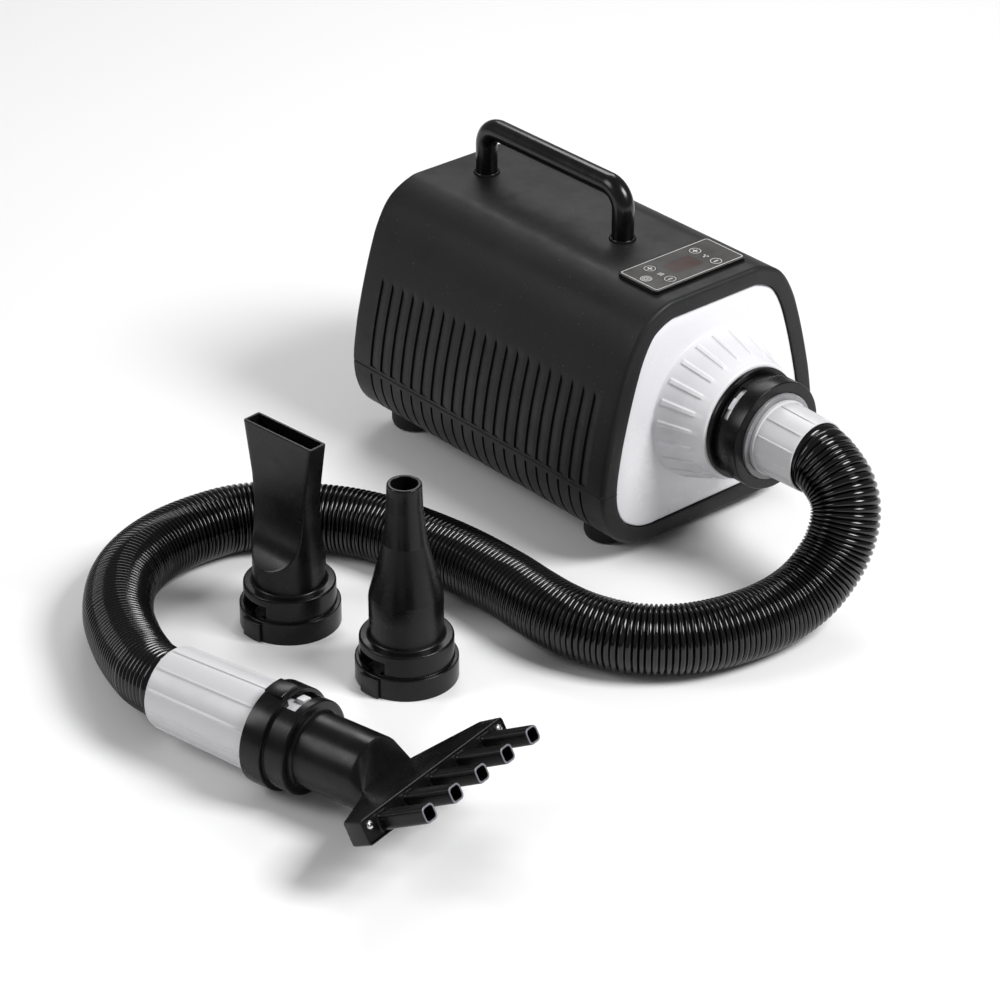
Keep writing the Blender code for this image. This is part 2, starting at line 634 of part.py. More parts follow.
# ---- hand grip ----
GRIP_TURN = Matrix((Vector((-GRIP_DIR.y, GRIP_DIR.x, 0)), Vector((0, 0, 1)), GRIP_DIR)).transposed()
gl = GRIP_LEN
spigot_end = gl + GRIP_SPIGOT_L
grip = ribbed_tube("hand_grip", [(0, GRIP_R0, 0), (1 * MM, GRIP_R0, 1), (gl - 2 * MM, GRIP_R1, 1),
                                 (gl, GRIP_R1, 0), (gl, GRIP_SPIGOT_R, 0), (spigot_end, GRIP_SPIGOT_R, 0)],
                   [(spigot_end, AIR_R), (SOCKET + 0.5 * MM, AIR_R), (SOCKET, HR + HOSE_FIT),
                    (0, HR + HOSE_FIT)], "white_cuff", GRIP_ORIGIN, GRIP_TURN, GRIP_RIBS, GRIP_RIB)
for k in range(2):
    combine(grip, arc_block("grip_lug_%d" % k, gl + GRIP_LUG_AT[0], gl + GRIP_LUG_AT[1],
                            GRIP_SPIGOT_R - 1 * MM,
                            RING_B_R - 0.4 * MM, TAB_COMB + LUG_REL + k * math.pi, LUG_HALF, at=GRIP_ORIGIN,
                            turn=GRIP_TURN), "UNION")


def socket_cuts(obj, name, at, turn, tab):
    """Tab, entry channel and lug slot of a bayonet socket with its base at local z = 0."""
    for k in range(2):
        a = tab + k * math.pi
        if not k:
            combine(obj, arc_block(name + "_tab", 0.3 * MM, RING_A_H - 1.5 * MM, RING_A_R - 1 * MM, TAB_R, a,
                                   TAB_HALF, at=at, turn=turn), "UNION")
        cut(obj, arc_block("%s_slot_%d" % (name, k), RING_A_H + 0.5 * MM, RING_A_H + 10 * MM,
                           GRIP_SPIGOT_R - 1 * MM,
                           RING_A_R + 3 * MM, a + 0.5 * (SLOT_UP - SLOT_LOW), 0.5 * (SLOT_UP + SLOT_LOW),
                           at=at, turn=turn, n=10))
        cut(obj, arc_block("%s_entry_%d" % (name, k), -1 * MM, RING_A_H + 1.4 * MM, GRIP_SPIGOT_R - 1 * MM,
                           RING_B_R + 0.7 * MM, a, ENTRY_HALF, at=at, turn=turn))


# ---- loose round nozzle ----
ra, rb, ha = RING_A_R, RING_B_R, RING_A_H
hb = RING_A_H + RING_B_H
base_in = GRIP_SPIGOT_R + SOCKET_PLAY
ti = TUBE_R - TUBE_WALL
rn = turned("round_nozzle", [
    (ROUND_BORE_R, NOZZLE_H), (ROUND_TIP_R - 0.8 * MM, NOZZLE_H), (ROUND_TIP_R, NOZZLE_H - 1 * MM),
    ROUND_TAPER, ROUND_NECK, (TUBE_R - 0.4 * MM, 63 * MM), (TUBE_R, 60 * MM),
    (TUBE_R, hb), (rb - 1 * MM, hb), (rb, hb - 1 * MM), (rb, ha + 0.2 * MM), (ra - 0.5 * MM, ha), (ra, 0),
    (base_in, 0), (base_in, hb - 5 * MM), (ti, hb - 4 * MM), (ti, 60 * MM),
    (ROUND_NECK[0] - 3 * MM, ROUND_NECK[1])], "black_satin", at=(*ROUND_AT, 0), steps=30, ring=True)
socket_cuts(rn, "round", (*ROUND_AT, 0), None, ROUND_TAB)

# ---- loose flat nozzle ----
M4 = 8


def rect_ring(w, t, r, z, n=M4):
    """Rounded rectangle with 4n points, starting at +X."""
    r = min(r, 0.499 * w, 0.499 * t)
    quad = []
    for k in range(n):
        f = k / n
        if f < 0.25:
            quad.append((0.5 * w, (0.5 * t - r) * f / 0.25))
        elif f < 0.6:
            a = (f - 0.25) / 0.35 * math.pi / 2
            quad.append((0.5 * w - r + r * math.cos(a), 0.5 * t - r + r * math.sin(a)))
        else:
            quad.append(((0.5 * w - r) * (1 - (f - 0.6) / 0.4), 0.5 * t))
    quad2 = [(-y, x) for x, y in rect_quarter(t, w, r, n)]
    return [(x, y, z) for x, y in quad + quad2 + [(-x, -y) for x, y in quad] + [(-x, -y) for x, y in quad2]]


def rect_quarter(w, t, r, n):
    quad = []
    for k in range(n):
        f = k / n
        if f < 0.4:
            quad.append((0.5 * w, (0.5 * t - r) * f / 0.4))
        elif f < 0.75:
            a = (f - 0.4) / 0.35 * math.pi / 2
            quad.append((0.5 * w - r + r * math.cos(a), 0.5 * t - r + r * math.sin(a)))
        else:
            quad.append(((0.5 * w - r) * (1 - (f - 0.75) / 0.25), 0.5 * t))
    return quad


def circle_ring(r, z, n=M4):
    return [(r * math.cos(2 * math.pi * i / (4 * n)), r * math.sin(2 * math.pi * i / (4 * n)), z)
            for i in range(4 * n)]


def slab_ring(r, w, t, z, n=M4):
    """Circle of radius r widened to w and flattened to thickness t."""
    ring = []
    for x, y, _ in circle_ring(r, z, n):
        ring.append((x * 0.5 * w / r, max(-0.5 * t, min(0.5 * t, y)), z))
    return ring


base_out = [circle_ring(ra, 0), circle_ring(ra - 0.5 * MM, ha), circle_ring(rb, ha + 0.2 * MM),
            circle_ring(rb, hb - 1 * MM), circle_ring(rb - 1 * MM, hb), circle_ring(TUBE_R, hb)]
fl_out = base_out + [circle_ring(TUBE_R, 56 * MM)]
fl_in = [circle_ring(base_in, 0), circle_ring(base_in, hb - 5 * MM), circle_ring(ti, hb - 4 * MM),
         circle_ring(ti, 54 * MM)]
for z, w, t in FLAT_SECTIONS:
    fl_out.append(slab_ring(TUBE_R, w * MM, t * MM, z * MM))
    fl_in.append(slab_ring(ti, (w - 0.2) * MM - 2 * FLAT_WALL, t * MM - 2 * FLAT_WALL, z * MM))
fl_out.append(rect_ring(MOUTH_W, MOUTH_T, 1.5 * MM, NOZZLE_H))
fl_in.append(rect_ring(MOUTH_W - 3.6 * MM, MOUTH_T - 3.6 * MM, 0.8 * MM, NOZZLE_H))
FLAT_TURN = Matrix.Rotation(FLAT_YAW, 3, "Z")
fn = loft("flat_nozzle", fl_out + fl_in[::-1], "black_satin", closed=True, at=(*FLAT_AT, 0), turn=FLAT_TURN)
socket_cuts(fn, "flat", (*FLAT_AT, 0), FLAT_TURN, FLAT_TAB - FLAT_YAW)

# ---- comb nozzle ----
COMB_AT = GRIP_ORIGIN + GRIP_DIR * (GRIP_LEN + GAP)
BEND = Vector((0, 0, COMB_BEND_AT - GRIP_LEN - GAP))
NDIR = Vector((0, math.sin(COMB_BEND), math.cos(COMB_BEND)))
SDIR = Vector((0, math.cos(COMB_BEND), -math.sin(COMB_BEND)))
PLATE = BEND + NDIR * COMB_THROW
LAT = Vector((1, 0, 0))


def fan_ring(depth, w, t, r):
    """Rounded rectangle across the fan, depth behind the plate's back."""
    base = PLATE - NDIR * depth
    return [tuple(base + LAT * x + SDIR * y) for x, y, _ in rect_ring(w, t, r, 0)]


def mix(ring_a, ring_b, f):
    return [tuple((1 - f) * a + f * b for a, b in zip(p, q)) for p, q in zip(ring_a, ring_b)]


tube_end = COMB_TUBE_END
neck_w, neck_depth = COMB_NECK
neck = fan_ring(neck_depth, neck_w, COMB_T, 6 * MM)
c_out = list(base_out)
c_out += [mix(circle_ring(TUBE_R, tube_end), neck, 0.0), mix(circle_ring(TUBE_R, tube_end + 1 * MM), neck,
                                                             0.35),
          neck, fan_ring(COMB_END_DEPTH, COMB_W - 4 * MM, COMB_T, 3 * MM),
          fan_ring(0, COMB_W, COMB_T, 3 * MM)]
w4, t4 = 4 * MM, COMB_T - 4 * MM
neck_in = fan_ring(neck_depth - 2 * MM, neck_w - 5 * MM, t4 - 0.4 * MM, 4 * MM)
c_in = [circle_ring(base_in, 0), circle_ring(base_in, hb - 5 * MM), circle_ring(ti, hb - 4 * MM),
        circle_ring(ti - 0.4 * MM, tube_end - 2 * MM),
        mix(circle_ring(ti - 0.4 * MM, tube_end - 1 * MM), neck_in, 0.38), neck_in,
        fan_ring(COMB_END_DEPTH - 0.5 * MM, COMB_W - 9 * MM, t4, 2 * MM),
        fan_ring(PLATE_T + 0.5 * MM, COMB_W - w4, t4, 2 * MM),
        fan_ring(PLATE_T + 0.4 * MM, COMB_W - 2.4 * MM, COMB_T - 2.4 * MM, 2 * MM),
        fan_ring(0, COMB_W - 2.4 * MM, COMB_T - 2.4 * MM, 2 * MM)]
cb = loft("comb_body", c_out + c_in[::-1], "black_satin", closed=True, at=COMB_AT, turn=GRIP_TURN)
socket_cuts(cb, "comb", COMB_AT, GRIP_TURN, TAB_COMB)


def square_rings(cx, half0, half1, r, d0, d1):
    """Rounded square tube standing on the plate at lateral position cx."""
    rings = []
    for d, h in ((d0, half0), (d1, half1)):
        base = PLATE + NDIR * d + LAT * cx
        rings.append([tuple(base + LAT * x + SDIR * y) for x, y, _ in rect_ring(2 * h, 2 * h, r, 0, 3)])
    return rings


def world_solids(solids, at, turn):
    return [[[tuple(turn @ Vector(p) + at) for p in ring] for ring in rings] for rings in solids]


plate_rings = [fan_ring(PLATE_T - 0.1 * MM, COMB_W - 3.2 * MM, COMB_T - 3.2 * MM, 1.8 * MM),
               fan_ring(0.1 * MM, COMB_W - 3.2 * MM, COMB_T - 3.2 * MM, 1.8 * MM)]
plate = loft("comb_plate", plate_rings, "black_satin", at=COMB_AT, turn=GRIP_TURN)
centres = [(k - 2) * COMB_PITCH for k in range(5)]
ho, hi = 0.5 * COMB_TUBE_OUT, 0.5 * COMB_TUBE_IN
combine(plate, join_solids("comb_tubes", world_solids(
    [square_rings(c, ho + 1 * MM, ho, 2.4 * MM, -1 * MM, COMB_TUBE_L) for c in centres], COMB_AT,
    GRIP_TURN)), "UNION")
cut(plate, join_solids("comb_bores", world_solids(
    [square_rings(c, hi, hi, 1.6 * MM, -6 * MM, COMB_TUBE_L + 2 * MM) for c in centres], COMB_AT,
    GRIP_TURN)))
N_WORLD = GRIP_TURN @ NDIR
for k, sx in enumerate((-COMB_SCREW_X, COMB_SCREW_X)):
    at = COMB_AT + GRIP_TURN @ (PLATE + LAT * sx * 0.985 + SDIR * COMB_SCREW_UP)
    cut(plate, turned("comb_screw_hole_%d" % k, [(0, 5 * MM), (COMB_SCREW_R + GAP, 5 * MM),
                                                   (COMB_SCREW_R + GAP, -6 * MM), (0, -6 * MM)],
                      None, at=at, turn=along(N_WORLD), steps=12))
    turned("comb_screw_%d" % (k + 1), [(0, 1.9 * MM), (1.6 * MM, 1.7 * MM), (COMB_SCREW_HEAD_R, 0.9 * MM),
                                       (COMB_SCREW_HEAD_R, 0.2 * MM), (COMB_SCREW_R, 0.2 * MM),
                                       (COMB_SCREW_R, -8 * MM), (0, -9 * MM)],
           "steel", at=at, turn=along(N_WORLD), steps=16)

# ---- handle ----
hz = TOP + HANDLE_RISE
bar = bpy.data.curves.new("handle_path", "CURVE")
bar.dimensions = "3D"
bar.bevel_depth = 0.5 * HANDLE_D
bar.bevel_resolution = 3
bar.use_fill_caps = True
path = [machine(HANDLE_REAR, 0, TOP + GAP)]
for cx, a0 in ((HANDLE_REAR + HANDLE_BEND, math.pi), (HANDLE_FRONT - HANDLE_BEND, math.pi / 2)):
    for k in range(6):
        a = a0 - k / 5 * math.pi / 2
        path.append(machine(cx + HANDLE_BEND * math.cos(a), 0, hz - HANDLE_BEND + HANDLE_BEND * math.sin(a)))
path.append(machine(HANDLE_FRONT, 0, TOP + GAP))
spline = bar.splines.new("POLY")
spline.points.add(len(path) - 1)
for point, co in zip(spline.points, path):
    point.co = (*co, 1.0)
guide = bpy.data.objects.new("handle_guide", bar)
cutters.objects.link(guide)
guide.hide_render = True
guide.display_type = "WIRE"
bpy.context.view_layer.update()
mesh = bpy.data.meshes.new_from_object(guide.evaluated_get(bpy.context.evaluated_depsgraph_get()))
bm = bmesh.new()
bm.from_mesh(mesh)
bmesh.ops.remove_doubles(bm, verts=bm.verts, dist=1e-6)
bm.to_mesh(mesh)
bm.free()
handle = bpy.data.objects.new("handle_bar", mesh)
handle.matrix_world = guide.matrix_world.copy()
mesh.materials.clear()
mesh.materials.append(material("black_satin", "handle_bar"))
part.objects.link(handle)
for tag, x in (("front", HANDLE_FRONT), ("rear", HANDLE_REAR)):
    turned("handle_ring_" + tag, [(0.5 * HANDLE_D + GAP, 2 * MM), (9.6 * MM, 2 * MM), (10.2 * MM, 0),
                                  (0.5 * HANDLE_D + GAP, 0)], "black_satin",
           at=machine(x, 0, TOP + GAP), steps=24, ring=True)
    cut(handle, turned("bolt_bore_" + tag, [(0, 19 * MM), (BOLT_BORE_R, 19 * MM), (BOLT_BORE_R, -2 * MM),
                                            (0, -2 * MM)],
                       None, at=machine(x, 0, TOP), steps=12))
    under = -WALL - GAP
    turned("handle_bolt_" + tag, [(0, 16 * MM), (BOLT_R, 16 * MM), (BOLT_R, under), (BOLT_HEAD_R, under),
                                  (BOLT_HEAD_R - 0.4 * MM, under - BOLT_HEAD_T), (0, under - BOLT_HEAD_T)],
           "zinc", at=machine(x, 0, TOP), steps=12)

# ---- control panel ----
pz = TOP + GAP


def slab_loft(name, w, l, r, z0, z1, kind, at, chamfer=0.0):
    rings = [rect_ring(w, l, r, z0, 4), rect_ring(w, l, r, z1 - chamfer, 4)]
    if chamfer:
        rings.append(rect_ring(w - 2 * chamfer, l - 2 * chamfer, max(r - chamfer, 0.5 * MM), z1, 4))
    return loft(name, rings, kind, at=at)


bezel = slab_loft("panel_bezel", PANEL_L, PANEL_WIDE, 3 * MM, 0, PANEL_RISE - OVERLAY_T - GAP * 0.5,
                  "black_satin",
                  machine(PANEL_X, 0, pz), 0.6 * MM)
plug = 2 * PANEL_LEDGE + 1 * MM
combine(bezel, box("bezel_plug", (PANEL_L - plug, PANEL_WIDE - plug, 6 * MM),
                   machine(PANEL_X, 0, pz - 2 * MM),
                   None), "UNION")
overlay = slab_loft("panel_overlay", PANEL_L - 2.4 * MM, PANEL_WIDE - 2.4 * MM, 2.4 * MM, 0, OVERLAY_T,
                    "overlay", machine(PANEL_X, 0, pz + PANEL_RISE - OVERLAY_T), 0.15 * MM)
holes = []
for x, y in KEYS.values():
    holes.append([[tuple(machine(x * MM + KEY_HOLE_R * math.cos(a), y * MM + KEY_HOLE_R * math.sin(a), z))
                   for a in (2 * math.pi * k / 16 for k in range(16))] for z in (TOP - 12 * MM,
                                                                                 TOP + 12 * MM)])
ww, wl = 0.5 * WINDOW[0] + WINDOW_FIT, 0.5 * WINDOW[1] + WINDOW_FIT
holes.append([[tuple(machine(WINDOW_X + a * ww, b * wl, z)) for a, b in ((-1, -1), (1, -1), (1, 1), (-1, 1))]
              for z in (TOP - 12 * MM, TOP + 12 * MM)])
panel_holes = join_solids("panel_holes", holes)
cut(bezel, panel_holes)
cut(overlay, panel_holes)
box("display_window", (WINDOW[0], WINDOW[1], 1.2 * MM), machine(WINDOW_X, 0, pz + PANEL_RISE - 0.65 * MM),
    "display")
box("display_module", (13 * MM, 22 * MM, 6 * MM), machine(WINDOW_X, 0, pz - 2.6 * MM), "led")
BOARD_Z = pz - BOARD_DROP
inside = 3 * PANEL_LEDGE
board = box("control_board", (PANEL_L - inside, PANEL_WIDE - inside, BOARD_T), machine(PANEL_X, 0, BOARD_Z),
            "pcb")
sw_solids = []
for x, y in KEYS.values():
    sw_solids.append([[tuple(machine(x * MM + a * SWITCH_HALF, y * MM + b * SWITCH_HALF, z))
                       for a, b in ((-1, -1), (1, -1), (1, 1), (-1, 1))] for z in (BOARD_Z,
                                                                                   BOARD_Z + SWITCH_H)])
combine(board, join_solids("switches", sw_solids), "UNION")
for name, (x, y) in KEYS.items():
    # dished top, stem down to the switch with room for the stroke
    turned(name, [(0, PANEL_RISE - 0.1 * MM), (KEY_R - 0.9 * MM, PANEL_RISE - 0.1 * MM),
                  (KEY_R - 0.7 * MM, PANEL_RISE + 0.15 * MM), (KEY_R, PANEL_RISE + 0.1 * MM),
                  (KEY_R, -2 * MM),
                  (1.6 * MM, -2.4 * MM), (1.6 * MM, -5.9 * MM), (0, -5.9 * MM)], "key",
           at=machine(x * MM, y * MM, pz), steps=16)

# ---- rear: panel, intake cover, foam, gland ----
b = -BODY_LEN
seat_in, ledge_in = 62.4 * MM, 56 * MM
rear = loft("rear_panel", [
    case_ring(b + PANEL_BACK, RIM_W + GAP), case_ring(b + 0.5 * MM, RIM_W + GAP),
    round_ring(b + 0.5 * MM, SLEEVE_R), round_ring(b - 6 * MM, SLEEVE_R - 0.6 * MM),
    round_ring(b - 6 * MM, seat_in), round_ring(b + 16 * MM, seat_in), round_ring(b + 16 * MM, ledge_in),
    round_ring(b + 18 * MM, ledge_in), round_ring(b + 18 * MM, SLEEVE_R),
    round_ring(b + PANEL_BACK, SLEEVE_R)],
    "black_shell", closed=True)
cut(rear, turned("gland_hole", [(0, 20 * MM), (GLAND_HOLE_R, 20 * MM), (GLAND_HOLE_R, 0), (0, 0)], None,
                 at=machine(b - 8 * MM, *GLAND_AT), turn=FORWARD, steps=24))
turned("cord_gland", [(3.7 * MM, 22 * MM), (5.4 * MM, 22 * MM), (7.6 * MM, 8 * MM), (9 * MM, 7 * MM),
                      (9 * MM, 0),
                      (6 * MM, 0), (6 * MM, -8 * MM), (3.7 * MM, -8 * MM)], "black_satin",
       at=machine(b + 0.2 * MM, *GLAND_AT), turn=BACKWARD, steps=24, ring=True)
cover = turned("intake_cover", [(0, 9 * MM), (58 * MM, 9 * MM), (61.6 * MM, 6.6 * MM), (61.6 * MM, 0),
                                (59.4 * MM, 0),
                                (59.4 * MM, 6 * MM), (0, 6 * MM)], "black_shell", at=on_axis(b),
                                turn=BACKWARD, steps=28)
bars = []
for k in (-3, -2, -1, 1, 2, 3):
    y = k * INTAKE_PITCH
    half = math.sqrt(INTAKE_R ** 2 - y * y)
    for z0, z1 in ((-half, -2 * MM), (2 * MM, half)):
        bars.append([[tuple(machine(x, y + a * INTAKE_HALF, AX_Z + (z1 if c else z0)))
                      for a, c in ((-1, 0), (1, 0), (1, 1), (-1, 1))] for x in (b - 12 * MM, b - 3 * MM)])
cut(cover, join_solids("intake_slots", bars))
turned("filter_foam", [(0, 11.5 * MM), (FOAM_R, 11.5 * MM), (FOAM_R, 0), (0, 0)], "foam",
       at=on_axis(b + 3 * MM),
       turn=FORWARD, steps=24)

# ---- fan and motor ----
turned("fan_housing", [(56.6 * MM, 122 * MM), (HOUSING_R, 122 * MM), (HOUSING_R, 0), (24 * MM, 0),
                       (24 * MM, 2.4 * MM),
                       (56.6 * MM, 2.4 * MM)], "nylon", at=on_axis(b + 28 * MM), turn=FORWARD, steps=28,
                       ring=True)
for tag, x in (("rear", b + 50 * MM), ("front", b + 120 * MM)):
    z0 = BODY_Z0 + WALL + GAP
    z1 = AX_Z - 6 * MM
    bracket = box("motor_bracket_" + tag, (BRACKET_T, BRACKET_W, z1 - z0), machine(x, 0, 0.5 * (z0 + z1)),
                  "nylon")
    cut(bracket, turned("bracket_seat_" + tag, [(0, 30 * MM), (HOUSING_R + GAP, 30 * MM),
                                                (HOUSING_R + GAP, 0), (0, 0)],
                        None, at=on_axis(x - 15 * MM), turn=FORWARD, steps=28))
MX = b + 66 * MM
turned("motor_case", [(SHAFT_R + 2.5 * MM, 70 * MM), (30 * MM, 70 * MM), (MOTOR_R, 62 * MM),
                      (MOTOR_R, 4 * MM),
                      (56.2 * MM, 4 * MM), (56.2 * MM, 0), (SHAFT_R + 2.5 * MM, 0)], "aluminium",
                      at=on_axis(MX),
       turn=FORWARD, steps=28, ring=True)
turned("impeller_shroud", [(21 * MM, 0), (53.5 * MM, -4 * MM), (55.9 * MM, -5 * MM), (55.9 * MM, -24 * MM),
                           (54.6 * MM, -24 * MM), (54.6 * MM, -6.2 * MM), (52 * MM, -5.2 * MM),
                           (21 * MM, -1.3 * MM)],
       "aluminium", at=on_axis(b + 34 * MM), turn=BACKWARD, steps=28, ring=True)
ROTOR = on_axis(b + 44 * MM)
turned("motor_shaft", [(0, SHAFT_LEN), (SHAFT_R, SHAFT_LEN), (SHAFT_R, 0), (0, 0)], "steel",
       at=ROTOR - Vector((4 * MM, 0, 0)), turn=FORWARD, steps=20)
imp = turned("impeller", [(SHAFT_R + GAP, 14 * MM), (IMPELLER_R, 14 * MM), (IMPELLER_R, 12.6 * MM),
                          (12 * MM, 12.6 * MM),
                          (9 * MM, 2 * MM), (SHAFT_R + GAP, 2 * MM)], "aluminium", at=ROTOR, turn=FORWARD,
                          steps=28,
             ring=True)
blades = []
for k in range(BLADES):
    a0 = 2 * math.pi * k / BLADES
    rings = []
    for j in range(4):
        r = BLADE_R[0] + (BLADE_R[1] - BLADE_R[0]) * j / 3
        a = a0 - BLADE_SWEEP * j / 3
        c = Vector((math.cos(a), math.sin(a)))
        s = Vector((-c.y, c.x)) * 0.7 * MM
        lo, hi2 = 13 * MM, (4.5 + j) * MM
        rings.append([tuple(ROTOR + FORWARD @ Vector((r * c.x + q * s.x, r * c.y + q * s.y, h)))
                      for q, h in ((-1, lo), (1, lo), (1, hi2), (-1, hi2))])
    blades.append(rings)
combine(imp, join_solids("impeller_blades", blades), "UNION")
nut_r = (SHAFT_R + GAP) / math.cos(math.pi / 6)
turned("impeller_nut", [(nut_r, 1.7 * MM), (7.5 * MM, 1.7 * MM), (7.5 * MM, -2.5 * MM), (nut_r, -2.5 * MM)],
       "steel", at=ROTOR, turn=FORWARD, steps=6, ring=True)
for tag, sy in (("right", -1), ("left", 1)):
    box("brush_holder_" + tag, (16 * MM, 9 * MM, 12 * MM), machine(MX + 48 * MM, sy * (MOTOR_R + 5 * MM),
                                                                   AX_Z), "nylon")

# ---- heater ----
HX = HEATER_X
inner_r = HEATER_R - 3 * MM
turned("heater_sleeve", [(inner_r, HEATER_LEN), (HEATER_R, HEATER_LEN), (HEATER_R, 0), (inner_r, 0)], "zinc",
       at=on_axis(HX), turn=FORWARD, steps=28, ring=True)
frame_l, frame_w, frame_t = HEATER_FRAME
frame_at = machine(HX + 0.5 * HEATER_LEN, 0, AX_Z)
frame = box("heater_frame", (frame_l, frame_t, frame_w), frame_at, "mica")
combine(frame, box("heater_frame_cross", (frame_l, frame_w, frame_t), frame_at, None), "UNION")
notch_r, notch_end = COIL_R - 3.5 * MM, COIL_RUN[0] + COIL_RUN[1] + 3 * MM
notch = turned("heater_groove", [(notch_r, notch_end), (60 * MM, notch_end), (60 * MM, COIL_RUN[0] - 3 * MM),
                                 (notch_r, COIL_RUN[0] - 3 * MM)],
               None, at=on_axis(HX), turn=FORWARD, steps=36, ring=True)
cut(frame, notch)
coil = bpy.data.curves.new("heater_coil", "CURVE")
coil.dimensions = "3D"
coil.bevel_depth = 1.0 * MM
coil.bevel_resolution = 1
coil.use_fill_caps = True
spline = coil.splines.new("POLY")
spline.points.add(COIL_TURNS * COIL_STEPS)
for i, point in enumerate(spline.points):
    a = 2 * math.pi * i / COIL_STEPS
    run = COIL_RUN[0] + COIL_RUN[1] * i / (COIL_TURNS * COIL_STEPS)
    co = on_axis(HX + run) + Vector((0, math.cos(a), math.sin(a))) * COIL_R
    point.co = (*co, 1.0)
coil_obj = bpy.data.objects.new("heater_coil", coil)
coil.materials.append(material("nickel_chrome", "heater_coil"))
part.objects.link(coil_obj)
turned("thermal_cutout", [(0, 10 * MM), (5 * MM, 10 * MM), (5 * MM, 0), (0, 0)], "zinc",
       at=machine(HX + 84 * MM, 20 * MM, AX_Z + 1.2 * MM), steps=20)

# ---- electronics ----
board_l, board_h = POWER_BOARD
board_x, board_y, board_z = POWER_BOARD_AT
box("power_board", (board_l, BOARD_T, board_h), machine(board_x, board_y, board_z), "pcb")
turned("capacitor", [(0, 24 * MM), (CAPACITOR_R, 24 * MM), (CAPACITOR_R, 0), (0, 0)], "black_gloss",
       at=machine(board_x - 22 * MM, board_y - CAPACITOR_R - 2 * MM - GAP, board_z - 12 * MM), steps=20)

for obj in list(part.objects):
    if obj.type == "MESH":
        for poly in obj.data.polygons:
            poly.use_smooth = False
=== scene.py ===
"""Looks of the pet dryer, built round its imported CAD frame. Metres, +Z up, floor at z = 0."""
import json
import math
import bpy
import bmesh
import numpy as np
from mathutils import Matrix, Vector


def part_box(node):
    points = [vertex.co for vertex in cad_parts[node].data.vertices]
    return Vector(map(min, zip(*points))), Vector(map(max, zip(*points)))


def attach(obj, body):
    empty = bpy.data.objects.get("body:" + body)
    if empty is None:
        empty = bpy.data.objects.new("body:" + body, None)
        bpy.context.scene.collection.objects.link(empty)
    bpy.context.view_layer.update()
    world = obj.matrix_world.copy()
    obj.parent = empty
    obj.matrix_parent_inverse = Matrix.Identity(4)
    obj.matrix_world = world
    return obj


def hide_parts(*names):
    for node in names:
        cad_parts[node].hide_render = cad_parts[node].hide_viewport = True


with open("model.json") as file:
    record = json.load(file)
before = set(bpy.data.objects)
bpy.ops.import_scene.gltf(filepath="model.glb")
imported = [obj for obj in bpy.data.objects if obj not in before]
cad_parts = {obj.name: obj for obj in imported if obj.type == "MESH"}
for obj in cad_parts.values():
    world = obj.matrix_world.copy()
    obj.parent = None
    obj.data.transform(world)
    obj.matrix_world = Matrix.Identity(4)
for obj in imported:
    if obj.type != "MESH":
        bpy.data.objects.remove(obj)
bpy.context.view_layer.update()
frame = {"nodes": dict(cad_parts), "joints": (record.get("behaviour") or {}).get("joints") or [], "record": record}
MM = 0.001


# ---------------------------------------------------------------- places taken from the frame
def joint(name):
    return next(j for j in frame["joints"] if j["name"] == name)


def mount(name):
    return Vector(next(m for m in frame["record"]["mounts"] if m["name"] == name)["pos_m"])


shell_low, shell_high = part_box("lower_shell")[0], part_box("upper_shell")[1]
FACE_X = shell_high.x                                # front face of the case
BODY_LEN = shell_high.x - shell_low.x
MID_Y = 0.5 * (shell_low.y + shell_high.y)
BODY_W = shell_high.y - shell_low.y
BOTTOM, TOP = shell_low.z, shell_high.z
SPLIT = 0.5 * (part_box("lower_shell")[1].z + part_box("upper_shell")[0].z)
AX_Z = Vector(joint("collar_twist")["pos_m"]).z      # outlet axis
BASE_FACE_R = 31.5 * MM                              # where the nozzles' base mounts lie
FLAT_AT = mount("flat_nozzle_base") - Vector((BASE_FACE_R, 0, 0))
ROUND_AT = mount("round_nozzle_base") - Vector((BASE_FACE_R, 0, 0))
COMB_AT = Vector(joint("comb_twist")["pos_m"])
GRIP_DIR = Vector(joint("comb_twist")["axis"]).normalized()

FORWARD = Matrix(((0, 0, 1), (0, 1, 0), (-1, 0, 0)))   # local Z to +X
ALONG_GRIP = Matrix((Vector((-GRIP_DIR.y, GRIP_DIR.x, 0)), Vector((0, 0, 1)), GRIP_DIR)).transposed()


def at(place, turn=None):
    """Matrix for a piece modelled round its own axis."""
    return Matrix.Translation(place) @ (turn.to_4x4() if turn else Matrix.Identity(4))


def machine(x, y, z):
    return Vector((FACE_X + x, MID_Y + y, z))


def on_axis(x):
    return machine(x, 0, AX_Z)


# ---------------------------------------------------------------- camera
CAMERA_AT = Vector((1.6333, -1.3765, 1.2485))
CAMERA_BACK = Vector((0.65756, -0.56358, 0.5))
camera_data = bpy.data.cameras.new("camera")
camera_data.lens, camera_data.sensor_width = 124.2, 36.0
camera_data.clip_end = 20
camera = bpy.data.objects.new("camera", camera_data)
camera.location = CAMERA_AT
camera.rotation_mode = "QUATERNION"
camera.rotation_quaternion = CAMERA_BACK.to_track_quat("Z", "Y")
bpy.context.scene.collection.objects.link(camera)
bpy.context.scene.camera = camera
bpy.context.scene.view_settings.view_transform = "Standard"


# ---------------------------------------------------------------- materials
def shader_of(name, base, rough, metal=0.0, **sockets):
    mat = bpy.data.materials.new(name)
    mat.use_nodes = True
    shader = mat.node_tree.nodes["Principled BSDF"]
    shader.inputs["Base Color"].default_value = (*base, 1)
    shader.inputs["Roughness"].default_value = rough
    shader.inputs["Metallic"].default_value = metal
    for key, value in sockets.items():
        shader.inputs[key.replace("_", " ")].default_value = value
    return mat, mat.node_tree, shader


def node(tree, kind, **inputs):
    made = tree.nodes.new("ShaderNode" + kind)
    for key, value in inputs.items():
        if key.startswith("p_"):
            setattr(made, key[2:], value)
        else:
            made.inputs[key.replace("_", " ")].default_value = value
    return made


